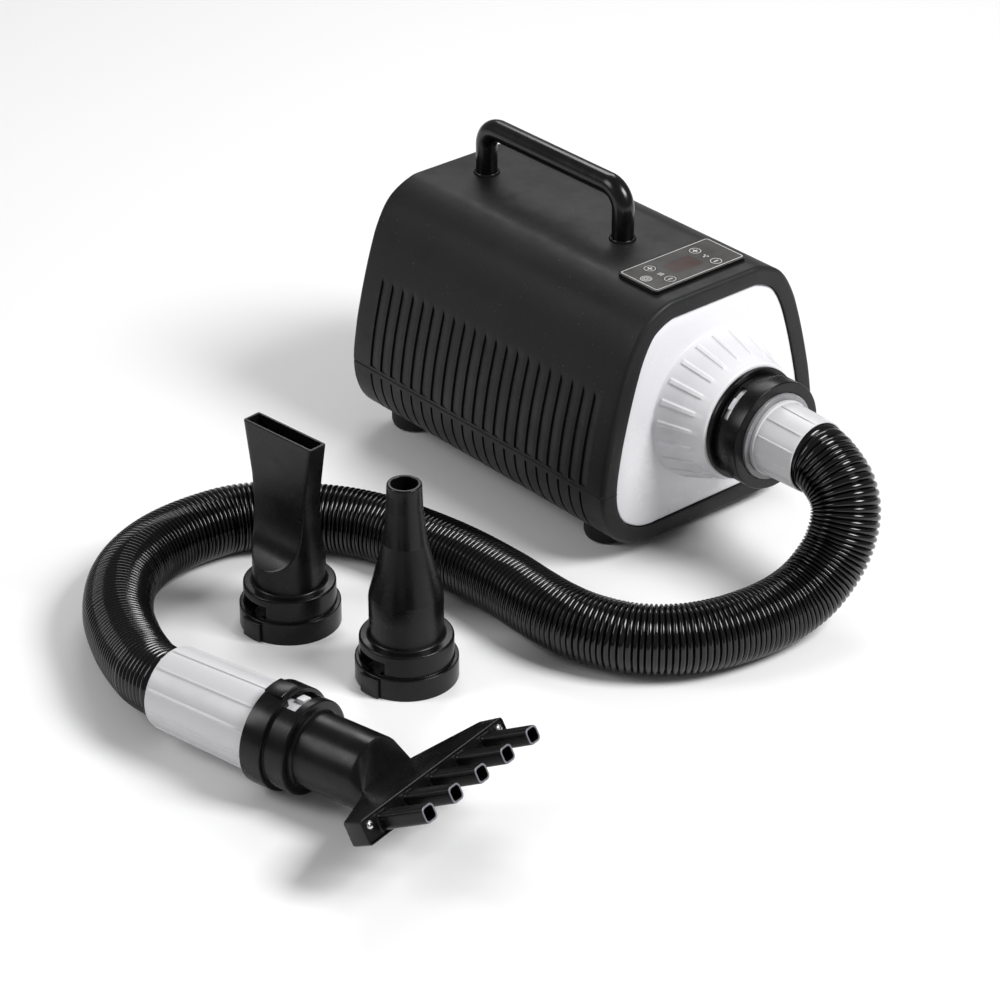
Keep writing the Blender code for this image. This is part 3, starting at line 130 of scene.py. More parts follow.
def noise(tree, scale, detail=4.0, rough=0.5, stretch=None):
    """Noise over the piece's own coordinates, in cycles per metre."""
    coords = node(tree, "TexCoord")
    made = node(tree, "TexNoise", Scale=scale, Detail=detail, Roughness=rough)
    out = coords.outputs["Object"]
    if stretch:
        mapping = node(tree, "Mapping")
        mapping.inputs["Scale"].default_value = stretch
        tree.links.new(out, mapping.inputs["Vector"])
        out = mapping.outputs["Vector"]
    tree.links.new(out, made.inputs["Vector"])
    return made.outputs["Fac"]


def ramp(tree, source, low, high, start=0.35, end=0.65):
    """Maps a 0..1 source to low..high between start and end."""
    made = node(tree, "MapRange", From_Min=start, From_Max=end, To_Min=low, To_Max=high)
    tree.links.new(source, made.inputs["Value"])
    return made.outputs["Result"]


def blend_colour(tree, factor, a, b):
    made = node(tree, "Mix", p_data_type="RGBA")
    made.inputs["A"].default_value = (*a, 1)
    made.inputs["B"].default_value = (*b, 1)
    tree.links.new(factor, made.inputs["Factor"])
    return made.outputs["Result"]


def bump(tree, height, strength, distance, before=None):
    made = node(tree, "Bump", Strength=strength, Distance=distance)
    tree.links.new(height, made.inputs["Height"])
    if before:
        tree.links.new(before, made.inputs["Normal"])
    return made.outputs["Normal"]


def plastic(name, base, rough, grain=1500.0, depth=0.00003, strength=0.3, vary=0.06, tint=1.25, specks=0.0,
            scuff=0.0, **sockets):
    """Moulded plastic: fine grain, slow waviness, uneven gloss, and if asked dust specks and scuffs."""
    mat, tree, shader = shader_of(name, base, rough, **sockets)
    slow = noise(tree, 14.0, 3.0)
    light = tuple(min(1.0, c * tint) for c in base)
    colour = blend_colour(tree, ramp(tree, slow, 0, 1), base, light)
    gloss = ramp(tree, noise(tree, 45.0, 5.0, 0.6), rough - vary, rough + vary)
    if specks:
        dust = ramp(tree, noise(tree, 900.0, 2.0, 0.5), 0, 1, 0.735, 0.76)
        mask = node(tree, "Math", p_operation="MULTIPLY")
        tree.links.new(dust, mask.inputs[0])
        mask.inputs[1].default_value = specks
        top = node(tree, "Mix", p_data_type="RGBA")
        top.inputs["B"].default_value = (0.45, 0.44, 0.42, 1)
        tree.links.new(mask.outputs["Value"], top.inputs["Factor"])
        tree.links.new(colour, top.inputs["A"])
        colour = top.outputs["Result"]
    if scuff:
        marks = noise(tree, 60.0, 6.0, 0.7, stretch=(1.0, 0.25, 3.0))
        extra = node(tree, "Math", p_operation="ADD")
        tree.links.new(gloss, extra.inputs[0])
        tree.links.new(ramp(tree, marks, 0, scuff, 0.6, 0.72), extra.inputs[1])
        gloss = extra.outputs["Value"]
    wave = bump(tree, noise(tree, 26.0, 2.0), 0.06, 0.0003)
    normal = bump(tree, noise(tree, grain, 3.0, 0.6), strength, depth, wave)
    tree.links.new(colour, shader.inputs["Base Color"])
    tree.links.new(gloss, shader.inputs["Roughness"])
    tree.links.new(normal, shader.inputs["Normal"])
    return mat


def metal(name, base, rough, stretch=(1, 1, 1)):
    """Bare metal with fine grain, drawn out along one axis where stretch says so."""
    mat, tree, shader = shader_of(name, base, rough, 1.0)
    grain = noise(tree, 900.0, 3.0, 0.6, stretch)
    tree.links.new(ramp(tree, grain, rough - 0.08, rough + 0.12), shader.inputs["Roughness"])
    tree.links.new(bump(tree, grain, 0.2, 0.00002), shader.inputs["Normal"])
    return mat


def foam_material():
    mat, tree, shader = shader_of("open_cell_foam", (0.03, 0.03, 0.032), 0.95)
    cells = node(tree, "TexVoronoi", Scale=420.0)
    tree.links.new(node(tree, "TexCoord").outputs["Object"], cells.inputs["Vector"])
    tree.links.new(bump(tree, cells.outputs["Distance"], 0.8, 0.001), shader.inputs["Normal"])
    return mat


def board_material():
    mat, tree, shader = shader_of("solder_resist", (0.01, 0.11, 0.04), 0.35)
    tracks = node(tree, "TexBrick", Scale=110.0, Mortar_Size=0.08)
    tracks.inputs["Color1"].default_value = (0.012, 0.12, 0.045, 1)
    tracks.inputs["Color2"].default_value = (0.008, 0.1, 0.035, 1)
    tracks.inputs["Mortar"].default_value = (0.03, 0.22, 0.08, 1)
    tree.links.new(node(tree, "TexCoord").outputs["Object"], tracks.inputs["Vector"])
    tree.links.new(tracks.outputs["Color"], shader.inputs["Base Color"])
    return mat


CASE = plastic("case_black", (0.0115, 0.0115, 0.012), 0.46, grain=2400, depth=0.00004, strength=0.3,
               specks=0.35, scuff=0.08, Specular_IOR_Level=0.22)
SATIN = plastic("satin_black", (0.003, 0.003, 0.0032), 0.28, grain=1200, strength=0.1, specks=0.08, scuff=0.04,
                Specular_IOR_Level=0.26)
GLOSSY = plastic("hose_black", (0.0014, 0.0014, 0.0016), 0.13, grain=900, strength=0.05, vary=0.03,
                 Specular_IOR_Level=0.45)
HANDLE = plastic("handle_black", (0.002, 0.002, 0.002), 0.22, grain=1500, strength=0.08, specks=0.06,
                 Specular_IOR_Level=0.4)
RUBBER = plastic("foot_rubber", (0.008, 0.008, 0.008), 0.7, grain=1800, depth=0.00006, strength=0.5,
                 Specular_IOR_Level=0.3)
WHITE = plastic("panel_white", (0.77, 0.765, 0.79), 0.25, grain=900, strength=0.03, vary=0.04, tint=1.02)
CUFF = plastic("cuff_white", (0.61, 0.605, 0.62), 0.36, grain=1400, strength=0.06, vary=0.05, tint=1.04)
CLEAR = plastic("clear_grey", (0.55, 0.55, 0.57), 0.16, grain=900, strength=0.04, tint=1.05,
                Transmission_Weight=0.6, IOR=1.49)
OVERLAY = plastic("overlay_film", (0.02, 0.018, 0.0165), 0.22, grain=1600, strength=0.06, vary=0.03)
WINDOW = plastic("window_tint", (0.03, 0.009, 0.006), 0.2, grain=1600, strength=0.04, vary=0.03)
KEY_FILM = plastic("key_film", (0.009, 0.008, 0.0075), 0.25, grain=1600, strength=0.06, vary=0.03)
PRINT = plastic("print_white", (0.5, 0.5, 0.49), 0.35, grain=2500, strength=0.1)
# paler grey for the air tubes' mouth edges, standing in for the light they catch: painted highlight
PAINTED_RIM_HIGHLIGHT = plastic("painted_rim_highlight", (0.13, 0.13, 0.15), 0.3, grain=1500, strength=0.1)
NYLON = plastic("natural_nylon", (0.6, 0.58, 0.52), 0.5)
MICA = plastic("mica_sheet", (0.55, 0.45, 0.3), 0.55, grain=500, strength=0.3, tint=1.3)
SLEEVE = plastic("shrink_sleeve", (0.012, 0.012, 0.02), 0.3)
STEEL = metal("bright_steel", (0.62, 0.61, 0.6), 0.24)
ZINC = metal("zinc_plate", (0.5, 0.5, 0.47), 0.36)
ALUMINIUM = metal("turned_aluminium", (0.7, 0.7, 0.71), 0.32, (1, 8, 8))
HEATING = metal("heating_wire", (0.33, 0.29, 0.27), 0.42)
FOAM = foam_material()
BOARD = board_material()


# ---------------------------------------------------------------- mesh helpers
def shade(mesh, sharp):
    """Smooth faces, with sharp edges above the given angle in degrees."""
    mesh.shade_smooth()
    mesh.set_sharp_from_angle(angle=math.radians(sharp))


def clean(mesh, merge):
    """Joins points closer than merge (0 for none) and turns the faces outwards."""
    bm = bmesh.new()
    bm.from_mesh(mesh)
    if merge:
        bmesh.ops.remove_doubles(bm, verts=bm.verts, dist=merge)
    bmesh.ops.recalc_face_normals(bm, faces=bm.faces)
    bm.to_mesh(mesh)
    bm.free()


def piece(name, verts, faces, mat, turn=None, sharp=32.0, merge=True):
    """Mesh object from points and faces, turned into place."""
    mesh = bpy.data.meshes.new(name)
    mesh.from_pydata(np.asarray(verts, float).tolist(), [], faces)
    clean(mesh, 2e-6 if merge else 0)
    if turn:
        mesh.transform(turn)
    shade(mesh, sharp)
    mesh.materials.append(mat)
    obj = bpy.data.objects.new(name, mesh)
    bpy.context.scene.collection.objects.link(obj)
    return obj


def grid_faces(rows, cols, wrap_rows=False, wrap_cols=True):
    faces = []
    for r in range(rows if wrap_rows else rows - 1):
        a, b = r * cols, (r + 1) % rows * cols
        for c in range(cols if wrap_cols else cols - 1):
            d = (c + 1) % cols
            faces.append((a + c, a + d, b + d, b + c))
    return faces


def skin(name, rings, mat, turn=None, wrap=False, **kw):
    """Surface over rings of equal length; wrap joins the last ring to the first, else the ends are capped."""
    rings = np.asarray(rings, float)
    rows, cols = rings.shape[:2]
    faces = grid_faces(rows, cols, wrap)
    if not wrap:
        faces += [tuple(range(cols))[::-1], tuple((rows - 1) * cols + c for c in range(cols))]
    return piece(name, rings.reshape(-1, 3), faces, mat, turn, **kw)


def rounded(points, closed=True, steps=4):
    """Outline of (a, b, radius) points with its corners made into arcs."""
    out, count = [], len(points)
    for i, (x, y, r) in enumerate(points):
        if r == 0 or (not closed and i in (0, count - 1)):
            out.append((x, y))
            continue
        p = np.array((x, y))
        q0, q1 = (np.array(points[(i + d) % count][:2]) for d in (-1, 1))
        l0, l1 = np.linalg.norm(q0 - p), np.linalg.norm(q1 - p)
        d0, d1 = (q0 - p) / l0, (q1 - p) / l1
        cut = min(r / max(math.tan(0.5 * math.acos(np.clip(d0 @ d1, -0.999, 0.999))), 0.2), 0.48 * l0, 0.48 * l1)
        a, b = p + d0 * cut, p + d1 * cut
        for k in range(steps + 1):
            t = k / steps
            out.append(tuple((1 - t) ** 2 * a + 2 * t * (1 - t) * p + t * t * b))
    return out


def lathe(name, outline, mat, turn=None, steps=144, closed=True, shape=None, **kw):
    """Turned piece from (radius, height, corner radius) points in mm; shape(angle, r, h) may change a radius."""
    line = rounded(outline, closed)
    rings = []
    for r, h in line:
        ring = []
        for k in range(steps):
            a = 2 * math.pi * k / steps
            rr = (shape(a, r, h) if shape else r) * MM
            ring.append((rr * math.cos(a), rr * math.sin(a), h * MM))
        rings.append(ring)
    rings = np.array(rings)
    rows = len(rings)
    return piece(name, rings.reshape(-1, 3), grid_faces(rows, steps, closed), mat, turn, **kw)


def arc_block(name, z0, z1, r0, r1, centre, half, turn=None, mat=SATIN, n=16, round_off=0.0):
    """Block bent round the local Z axis; heights and radii in mm, angles in degrees."""
    rings = []
    for h in (z0, z1):
        outer = [(r1, centre - half + 2 * half * k / n) for k in range(n + 1)]
        inner = [(r0, centre + half - 2 * half * k / n) for k in range(n + 1)]
        rings.append([(r * MM * math.cos(math.radians(a)), r * MM * math.sin(math.radians(a)), h * MM)
                      for r, a in outer + inner])
    obj = skin(name, rings, mat, turn)
    if round_off:
        mod = obj.modifiers.new("edge", "BEVEL")
        mod.width, mod.segments, mod.limit_method = round_off * MM, 3, "ANGLE"
        mod.angle_limit = math.radians(50)
    return obj


def settle(obj, sharp=32.0):
    """Applies the modifiers and shades the result again."""
    graph = bpy.context.evaluated_depsgraph_get()
    mesh = bpy.data.meshes.new_from_object(obj.evaluated_get(graph))
    obj.modifiers.clear()
    obj.data = mesh
    shade(mesh, sharp)
    return obj


def carve(obj, tools, sharp=32.0):
    """Booleans in order; tools are (operation, object) pairs, and the tools are removed afterwards."""
    for operation, tool in tools:
        mod = obj.modifiers.new("carve", "BOOLEAN")
        mod.operation, mod.solver, mod.object = operation, "EXACT", tool
    settle(obj, sharp)
    for _, tool in tools:
        bpy.data.objects.remove(tool, do_unlink=True)
    return obj


def show(obj, body, *nodes, slot=None):
    """The piece rides on the body and stands for the CAD nodes."""
    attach(obj, body)
    if nodes:
        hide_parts(*nodes)
    return obj


def smooth(points, per):
    """Catmull-Rom points through the given ones, ends kept."""
    pts = [np.array(p, float) for p in points]
    pts = [2 * pts[0] - pts[1]] + pts + [2 * pts[-1] - pts[-2]]
    out = []
    for a, b, c, d in zip(pts, pts[1:], pts[2:], pts[3:]):
        for k in range(per):
            t = k / per
            out.append(0.5 * (2 * b + (c - a) * t + (2 * a - 5 * b + 4 * c - d) * t * t
                              + (3 * b - a - 3 * c + d) * t ** 3))
    out.append(pts[-2])
    return np.array(out)


def spaced(line, count):
    """The same line as count points an equal way apart."""
    lengths = np.concatenate([[0], np.cumsum(np.linalg.norm(np.diff(line, axis=0), axis=1))])
    even = np.linspace(0, lengths[-1], count)
    return np.stack([np.interp(even, lengths, line[:, k]) for k in range(line.shape[1])], 1)


def length_of(line):
    return float(np.linalg.norm(np.diff(line, axis=0), axis=1).sum())


# ---------------------------------------------------------------- hose (its route is the one in part.py)
HOSE_D = 48.0 * MM
RIB_PITCH = 3.72 * MM
RIB_DEPTH = 2.1 * MM
CUFF_X, CUFF_LEN = 65.6, 37.4                        # mm from the front face, and long
SOCKET, CUFF_STOP = 17.0, 7.4                        # how far the hose goes into the grip; its stop in the cuff
GRIP_LEN = 85.2
GRIP_AT = COMB_AT - GRIP_DIR * (GRIP_LEN + 0.3) * MM
ROUTE = [(233.0, 117.9, 97.2), (243.6, 117.0, 91.0), (250.8, 115.2, 83.3), (255.3, 112.4, 74.8),
         (258.2, 107.8, 64.6), (259.8, 100.6, 52.8), (260.4, 90.0, 42.2), (260.4, 75.5, 32.6), (259.6, 57.0, 26.4),
         (258.6, 35.5, 24.4), (256.2, 16.1, 24.1), (252.4, -0.7, 24.1), (246.2, -17.0, 24.1), (237.2, -31.5, 24.1),
         (226.0, -43.8, 24.1), (212.0, -54.2, 24.1), (189.5, -63.6, 24.1), (166.3, -67.5, 24.1),
         (140.5, -68.0, 24.1),
         (112.0, -67.2, 24.1), (67.3, -69.8, 24.1), (26.2, -77.4, 24.1), (-1.0, -85.4, 24.1), (-20.6, -94.6, 24.1),
         (-37.5, -106.0, 24.1), (-60.0, -125.5, 24.1), (-72.5, -141.8, 24.1), (-80.4, -160.0, 24.1),
         (-83.9, -184.0, 24.1), (-83.9, -203.0, 24.1), (-81.6, -219.0, 24.1), (-77.0, -234.0, 24.1),
         (-69.6, -249.4, 24.1), (-59.6, -263.6, 24.1), (-47.6, -275.6, 24.1), (-33.2, -286.8, 24.1),
         (-18.4, -296.0, 24.2), (-2.2, -303.6, 24.5), (14.0, -310.4, 25.6), (35.0, -317.8, 28.2),
         (57.0, -324.0, 31.6)]


def hose_line():
    """Smooth centreline in metres, from the stop in the cuff to the socket of the grip."""
    route = [on_axis((CUFF_X + CUFF_STOP + 0.3) * MM), on_axis((CUFF_X + CUFF_LEN - 8) * MM)]
    route += [on_axis((CUFF_X + CUFF_LEN + 3.5) * MM)]
    route += [Vector(p) * MM for p in ROUTE]
    route += [GRIP_AT - GRIP_DIR * 2.5 * MM, GRIP_AT + GRIP_DIR * 6 * MM, GRIP_AT + GRIP_DIR * (SOCKET - 1) * MM]
    return smooth([tuple(p) for p in route], 8)


def make_hose():
    """Corrugated hose along its route; gives the piece, the line and its length."""
    line = hose_line()
    total = length_of(line)
    per_rib, around = 8, 48
    ribs = round(total / RIB_PITCH)
    line = spaced(line, ribs * per_rib + 1)
    tangent = np.gradient(line, axis=0)
    tangent /= np.linalg.norm(tangent, axis=1)[:, None]
    # the frame is carried along the line without twist
    normal = [np.array((0.0, 1.0, 0.0))]
    for t in tangent[1:]:
        n = normal[-1] - t * (normal[-1] @ t)
        normal.append(n / np.linalg.norm(n))
    normal = np.array(normal)
    side = np.cross(tangent, normal)
    phase = np.arange(len(line)) / per_rib
    # round tops and narrow valleys
    wave = np.abs(np.cos(np.pi * phase)) ** 0.55
    radius = 0.5 * HOSE_D - RIB_DEPTH + RIB_DEPTH * wave
    a = np.arange(around) * 2 * np.pi / around
    rings = (line[:, None, :] + radius[:, None, None] * (np.cos(a)[None, :, None] * normal[:, None, :]
                                                        + np.sin(a)[None, :, None] * side[:, None, :]))
    rings[:, :, 2] = np.maximum(rings[:, :, 2], 0.1 * MM)
    obj = skin("ribbed_hose", rings, GLOSSY, sharp=70, merge=False)
    show(obj, "machine", "hose")
    return obj, line, total


hose, hose_path, hose_length = make_hose()


# ---------------------------------------------------------------- case shells
HALF = [(0, 1), (.3, 1), (.4, .999), (.46, .991), (.53, .976), (.605, .953), (.66, .9265), (.704, .894),
        (.743, .856), (.78, .812), (.812, .763), (.851, .695), (.888, .623), (.922, .55), (.956, .469),
        (.983, .384), (1.0, .308), (.999, .237), (.981, .18), (.94, .123), (.88, .078), (.818, .05),
        (.728, .0225), (.649, .008), (.57, .001), (.49, 0), (0, 0)]
RIM = 13.0
EDGE = 3.6
WALL = 4.5
PANEL_STEP = 1.5                                     # recess of the white panel behind the rim
LOUVRES, PITCH, FIRST = 21, 11.56, -25.0
LOUVRE_TOP = BOTTOM / MM + 121.5
LOUVRE_RAMP = 5.5
GAP_W, SLIT_W, GAP_DEPTH = 0.95, 2.0, 2.8
SCOOP_W, SCOOP_DEPTH = 8.0, 1.1
STEP = 0.08                                          # half the width of a step's side
UPPER_FROM = SPLIT / MM + 2.6
SLIT_TOP, SLIT_END = SPLIT / MM - 3.6, BOTTOM / MM + 13.0


def half_outline():
    """Right half of the case's outline in mm, dense, with its arc length."""
    line = smooth([(y, z) for y, z in HALF], 24)
    line[:, 0] *= 0.5 * BODY_W / MM / line[:, 0].max()
    line[:, 1] = BOTTOM / MM + np.clip(line[:, 1], 0, 1) * (TOP - BOTTOM) / MM
    return line


def columns():
    """Outline points (y, z) with outward normals, from the top round the +Y side to the bottom."""
    line = half_outline()
    arc = np.concatenate([[0], np.cumsum(np.linalg.norm(np.diff(line, axis=0), axis=1))])
    falling = np.argmax(line[:, 0] > 0.25 * BODY_W / MM)
    zs, ss = line[falling:, 1][::-1], arc[falling:][::-1]
    marks = [LOUVRE_TOP, LOUVRE_TOP - LOUVRE_RAMP, UPPER_FROM + 0.06, UPPER_FROM - 0.06, SPLIT / MM + 0.9,
             SPLIT / MM + 0.45, SPLIT / MM + 0.15, SPLIT / MM - 0.15, SPLIT / MM - 0.45, SPLIT / MM - 0.9,
             SLIT_TOP + 0.5, SLIT_TOP - 0.5, SLIT_END + 1.5, SLIT_END]
    marked = [float(np.interp(z, zs, ss)) for z in marks]
    even = [s for s in np.linspace(0, arc[-1], 118) if min(abs(s - m) for m in marked) > 0.7]
    s = np.array(sorted(even + marked))
    pts = np.stack([np.interp(s, arc, line[:, k]) for k in (0, 1)], 1)
    d = np.stack([np.interp(s + 0.8, arc, line[:, k]) - np.interp(s - 0.8, arc, line[:, k]) for k in (0, 1)], 1)
    normals = np.stack([-d[:, 1], d[:, 0]], 1)
    normals /= np.linalg.norm(normals, axis=1)[:, None]
    normals[0], normals[-1] = (0, 1), (0, -1)
    return pts, normals


def stations():
    """(x, inset) pairs in mm from the front rim's inner edge over the side to the rear rim's inner edge."""
    length = BODY_LEN / MM
    rim = [(-PANEL_STEP - 2.4, RIM), (-0.5, RIM), (-0.12, RIM - 0.14), (0, RIM - 0.5), (0, 0.5 * (RIM + EDGE))]
    arc = [(-EDGE + EDGE * math.cos(a), EDGE - EDGE * math.sin(a)) for a in np.linspace(0, math.pi / 2, 9)]
    front = rim + arc
    rear = [(-length - x, inset) for x, inset in front[::-1]]
    middle = []
    for k in range(LOUVRES):
        x = FIRST - k * PITCH
        middle += [x + SCOOP_W + 1.0, x + SCOOP_W, x + 0.5 * (GAP_W + SCOOP_W), x + SLIT_W + STEP, x + SLIT_W - STEP,
                   x + GAP_W + STEP, x + GAP_W - STEP, x + STEP, x - STEP]
    middle = [-10.0] + middle + [FIRST - LOUVRES * PITCH + 2.0]
    return front + [(m, 0.0) for m in middle] + rear


def louvre_depth(x, z, upper):
    """How far the side surface is pressed in at x, z (mm)."""
    k = round((FIRST - x) / PITCH + 0.3)
    dx = x - (FIRST - k * PITCH)
    if not 0 <= k < LOUVRES or not -0.01 < dx < SCOOP_W:
        return 0.0
    in_gap = 0 < dx < (GAP_W if upper else SLIT_W)
    if upper:
        if not UPPER_FROM < z < LOUVRE_TOP:
            return 0.0
        rise = min(1.0, (LOUVRE_TOP - z) / LOUVRE_RAMP)
        scoop = SCOOP_DEPTH * rise * (1 - max(0.0, dx - GAP_W) / (SCOOP_W - GAP_W))
        return GAP_DEPTH if in_gap and rise > 0.55 else scoop
    if not (SLIT_END < z < SLIT_TOP and in_gap):
        return 0.0
    return GAP_DEPTH * min(1.0, (z - SLIT_END) / 1.5)


def make_shell(name, upper):
    """Upper or lower half of the case, with an outer and an inner skin."""
    pts, normals = columns()
    keep = pts[:, 1] > SPLIT / MM if upper else pts[:, 1] < SPLIT / MM
    pts, normals = pts[keep], normals[keep]
    mirrored = pts[:, 0] > 1e-6
    flip = np.array((-1, 1))
    if upper:
        pts2 = np.concatenate([pts[::-1], (pts * flip)[mirrored]])
        nrm2 = np.concatenate([normals[::-1], (normals * flip)[mirrored]])
    else:
        pts2 = np.concatenate([pts, (pts * flip)[mirrored][::-1]])
        nrm2 = np.concatenate([normals, (normals * flip)[mirrored][::-1]])
    path = stations()
    length = BODY_LEN / MM
    outer, inner = [], []
    for x, inset in path:
        on_side = -length + EDGE < x < -EDGE
        row_out, row_in = [], []
        for (y, z), n in zip(pts2, nrm2):
            depth = inset
            side = abs(n[0]) > 0.3
            if on_side and side:
                depth += louvre_depth(x, z, upper)
            lip = max(0.0, 0.9 - abs(z - SPLIT / MM)) * 0.55 if side else 0.0
            p = (y, z) - n * (depth + lip)
            q = (y, z) - n * max(inset, WALL)
            row_out.append(machine(x * MM, p[0] * MM, p[1] * MM))
            row_in.append(machine(min(max(x, -length + WALL), -WALL) * MM, q[0] * MM, q[1] * MM))
        outer.append(row_out)
        inner.append(row_in)
    rows, cols = len(outer), len(outer[0])
    count = rows * cols
    verts = np.array(outer).reshape(-1, 3).tolist() + np.array(inner).reshape(-1, 3).tolist()
    faces = grid_faces(rows, cols, False, False)
    faces += [tuple(count + i for i in f[::-1]) for f in faces]
    border = [r * cols for r in range(rows)] + [(rows - 1) * cols + c for c in range(1, cols)]
    border += [r * cols + cols - 1 for r in range(rows - 2, -1, -1)] + [c for c in range(cols - 2, 0, -1)]
    for i, a in enumerate(border):
        b = border[(i + 1) % len(border)]
        faces.append((a, b, count + b, count + a))
    return piece(name, verts, faces, CASE, sharp=28)


show(make_shell("case_upper", True), "machine", "upper_shell")
show(make_shell("case_lower", False), "machine", "lower_shell")


# ---------------------------------------------------------------- white front panel and outlet funnel
FUNNEL_R0, FUNNEL_R1, FUNNEL_LEN = 55.5, 42.9, 36.9
RIBS, RIB_AT, RIB_RISE = 22, 142.6, 1.0


def inset_radius(inset, angles):
    """Radius from the outlet axis to the outline pushed in by inset, in mm."""
    half = half_outline()
    d = np.gradient(half, axis=0)
    n = np.stack([-d[:, 1], d[:, 0]], 1)
    n /= np.linalg.norm(n, axis=1)[:, None]
    side = half - n * inset
    side = side[side[:, 0] > 0]
    full = np.concatenate([side, (side * (-1, 1))[::-1]])
    ang = np.arctan2(full[:, 1] - AX_Z / MM, full[:, 0])
    rad = np.hypot(full[:, 1] - AX_Z / MM, full[:, 0])
    order = np.argsort(ang)
    return np.interp(angles, ang[order], rad[order], period=2 * math.pi)


def make_front_panel():
    """White panel that rises into the ribbed outlet funnel."""
    per = 24
    angles = math.radians(RIB_AT) + np.arange(RIBS * per) * 2 * math.pi / (RIBS * per)
    rib = np.zeros(per)
    rib[[0, 1, 2, 3, -1, -2, -3]] = (1, 1, 1, 0.35, 1, 1, 0.35)
    rib = np.tile(rib, RIBS)
    edge = inset_radius(RIM + 0.35, angles)
    slope = (FUNNEL_R0 - FUNNEL_R1) / FUNNEL_LEN
    flat = -PANEL_STEP

    def cone(x):
        return FUNNEL_R0 - slope * max(x, 0)

    rings = [(-4.5, edge), (-3.2, edge), (-2.3, edge - 0.25), (-1.8, edge - 0.8), (flat, edge - 1.7)]
    base = np.full_like(edge, FUNNEL_R0 + 1.6)
    for f in (0.3, 0.6, 0.85, 1.0):
        rings.append((flat, edge - 1.7 + f * (base - edge + 1.7)))
    rings += [(flat + 0.25, base * 0 + FUNNEL_R0 + 0.7), (flat + 0.9, base * 0 + FUNNEL_R0 + 0.15)]
    for x, rise in ((1.8, 0), (2.3, 0.5), (2.9, 1), (15, 1), (26.4, 1), (27.2, 0.6), (27.9, 0)):
        rings.append((x, cone(x) + rib * rise * RIB_RISE))
    rings += [(x, base * 0 + r) for x, r in (
        (34.8, cone(34.8)), (36.2, cone(36.2) - 0.05), (36.75, cone(36.6) - 0.45), (FUNNEL_LEN, cone(36.6) - 1.1),
        (FUNNEL_LEN, 39.8), (2.0, 52.0), (-4.5, 54.0))]
    made = []
    for x, radius in rings:
        made.append([on_axis(x * MM) + Vector((0, math.cos(a), math.sin(a))) * float(r) * MM
                     for a, r in zip(angles, radius)])
    return skin("outlet_panel", made, WHITE, wrap=True, sharp=38)


show(make_front_panel(), "machine", "front_panel")


# ---------------------------------------------------------------- outlet: flange, spigot, collar, swivel, cuff
def outlet_angle(degrees):
    """Angle about +X, from +Y to +Z, as a local angle of the FORWARD turn."""
    v = FORWARD.transposed() @ Vector((0, math.cos(math.radians(degrees)), math.sin(math.radians(degrees))))
    return math.degrees(math.atan2(v.y, v.x))


outlet = at(on_axis(0), FORWARD)
LUG = 133.7
FLANGE_X, COLLAR_X, COLLAR_END = 37.3, 41.0, 63.6
show(lathe("flange_disc", [(34.9, FLANGE_X, 0.2), (34.9, 40.7, 0.2), (41.2, 40.7, 0.7), (41.2, FLANGE_X, 0.5)],
           SATIN, outlet), "machine", "outlet_flange")

spigot = lathe("outlet_spigot_tube", [
    (31, 33, 0.2), (31, 58, 0.6), (34.6, 58, 0.6), (34.6, 35, 0.2), (38.6, 35, 0.2), (38.6, 33, 0.2)], WHITE, outlet)
carve(spigot, [("UNION", arc_block("lug_%d" % k, 44, 49, 33.6, 36.8, outlet_angle(LUG + 180 * k), 7, outlet, WHITE,
                                   round_off=0.4)) for k in range(2)])
show(spigot, "machine", "outlet_spigot")

collar = lathe("collar_ring", [
    (31.9, COLLAR_END, 0.5), (39.6, COLLAR_END, 0.9), (39.6, 50.5, 0.5), (37.4, 50.0, 0.3), (37.4, COLLAR_X, 0.5),
    (35.0, COLLAR_X, 0.2), (35.0, 60.6, 0.2), (31.9, 60.6, 0.2)], SATIN, outlet)
carve(collar, [("DIFFERENCE", arc_block("collar_slot_%d" % k, 43.4, 49.6, 33.6, 41.6,
                                        outlet_angle(LUG + 180 * k - 2), 20.2, outlet)) for k in range(2)])
show(collar, "collar", "outlet_collar")

show(lathe("swivel_tube", [
    (24.5, 65.3, 0.3), (31.5, 65.3, 0.5), (31.5, 60.2, 0.1), (34.6, 60.2, 0.1), (34.6, 58.7, 0.1), (24.5, 58.7, 0.1)],
    CLEAR, outlet), "machine", "swivel_ring")


def narrow_ribs(count, rise, z0, z1, phase=0.0, half=1.3):
    """Radius change for narrow ribs along a cuff; z in mm, half width in degrees."""
    def shape(a, r, h):
        if not z0 < h < z1 or r < 25:
            return r
        off = (math.degrees(a) - phase + 180.0 / count) % (360.0 / count) - 180.0 / count
        ends = min(1.0, (h - z0) / 1.2, (z1 - h) / 1.2)
        return r + rise * ends * max(0.0, min(1.0, (half + 0.5 - abs(off)) / 0.5))
    return shape


c0 = CUFF_X
cuff = lathe("cuff_sleeve", [
    (27.6, c0, 0.5), (22.0, c0, 0.3), (22.0, c0 + 6.8, 0.2), (24.4, c0 + 7.2, 0.2), (24.4, c0 + CUFF_LEN - 2, 0.3),
    (24.9, c0 + CUFF_LEN, 0.3), (25.9, c0 + CUFF_LEN, 0.4), (25.92, c0 + CUFF_LEN - 1.6, 0), (26.0, 95, 0),
    (26.2, 88, 0), (26.4, 80, 0), (26.6, 71, 0), (26.6, 70.2, 0), (26.6, 69, 0.2), (27.6, 68.4, 0.3)],
    CUFF, outlet, steps=360, shape=narrow_ribs(12, 0.75, 69.4, c0 + CUFF_LEN - 0.6, 5.0, 1.0), sharp=50)
show(cuff, "machine", "hose_cuff")

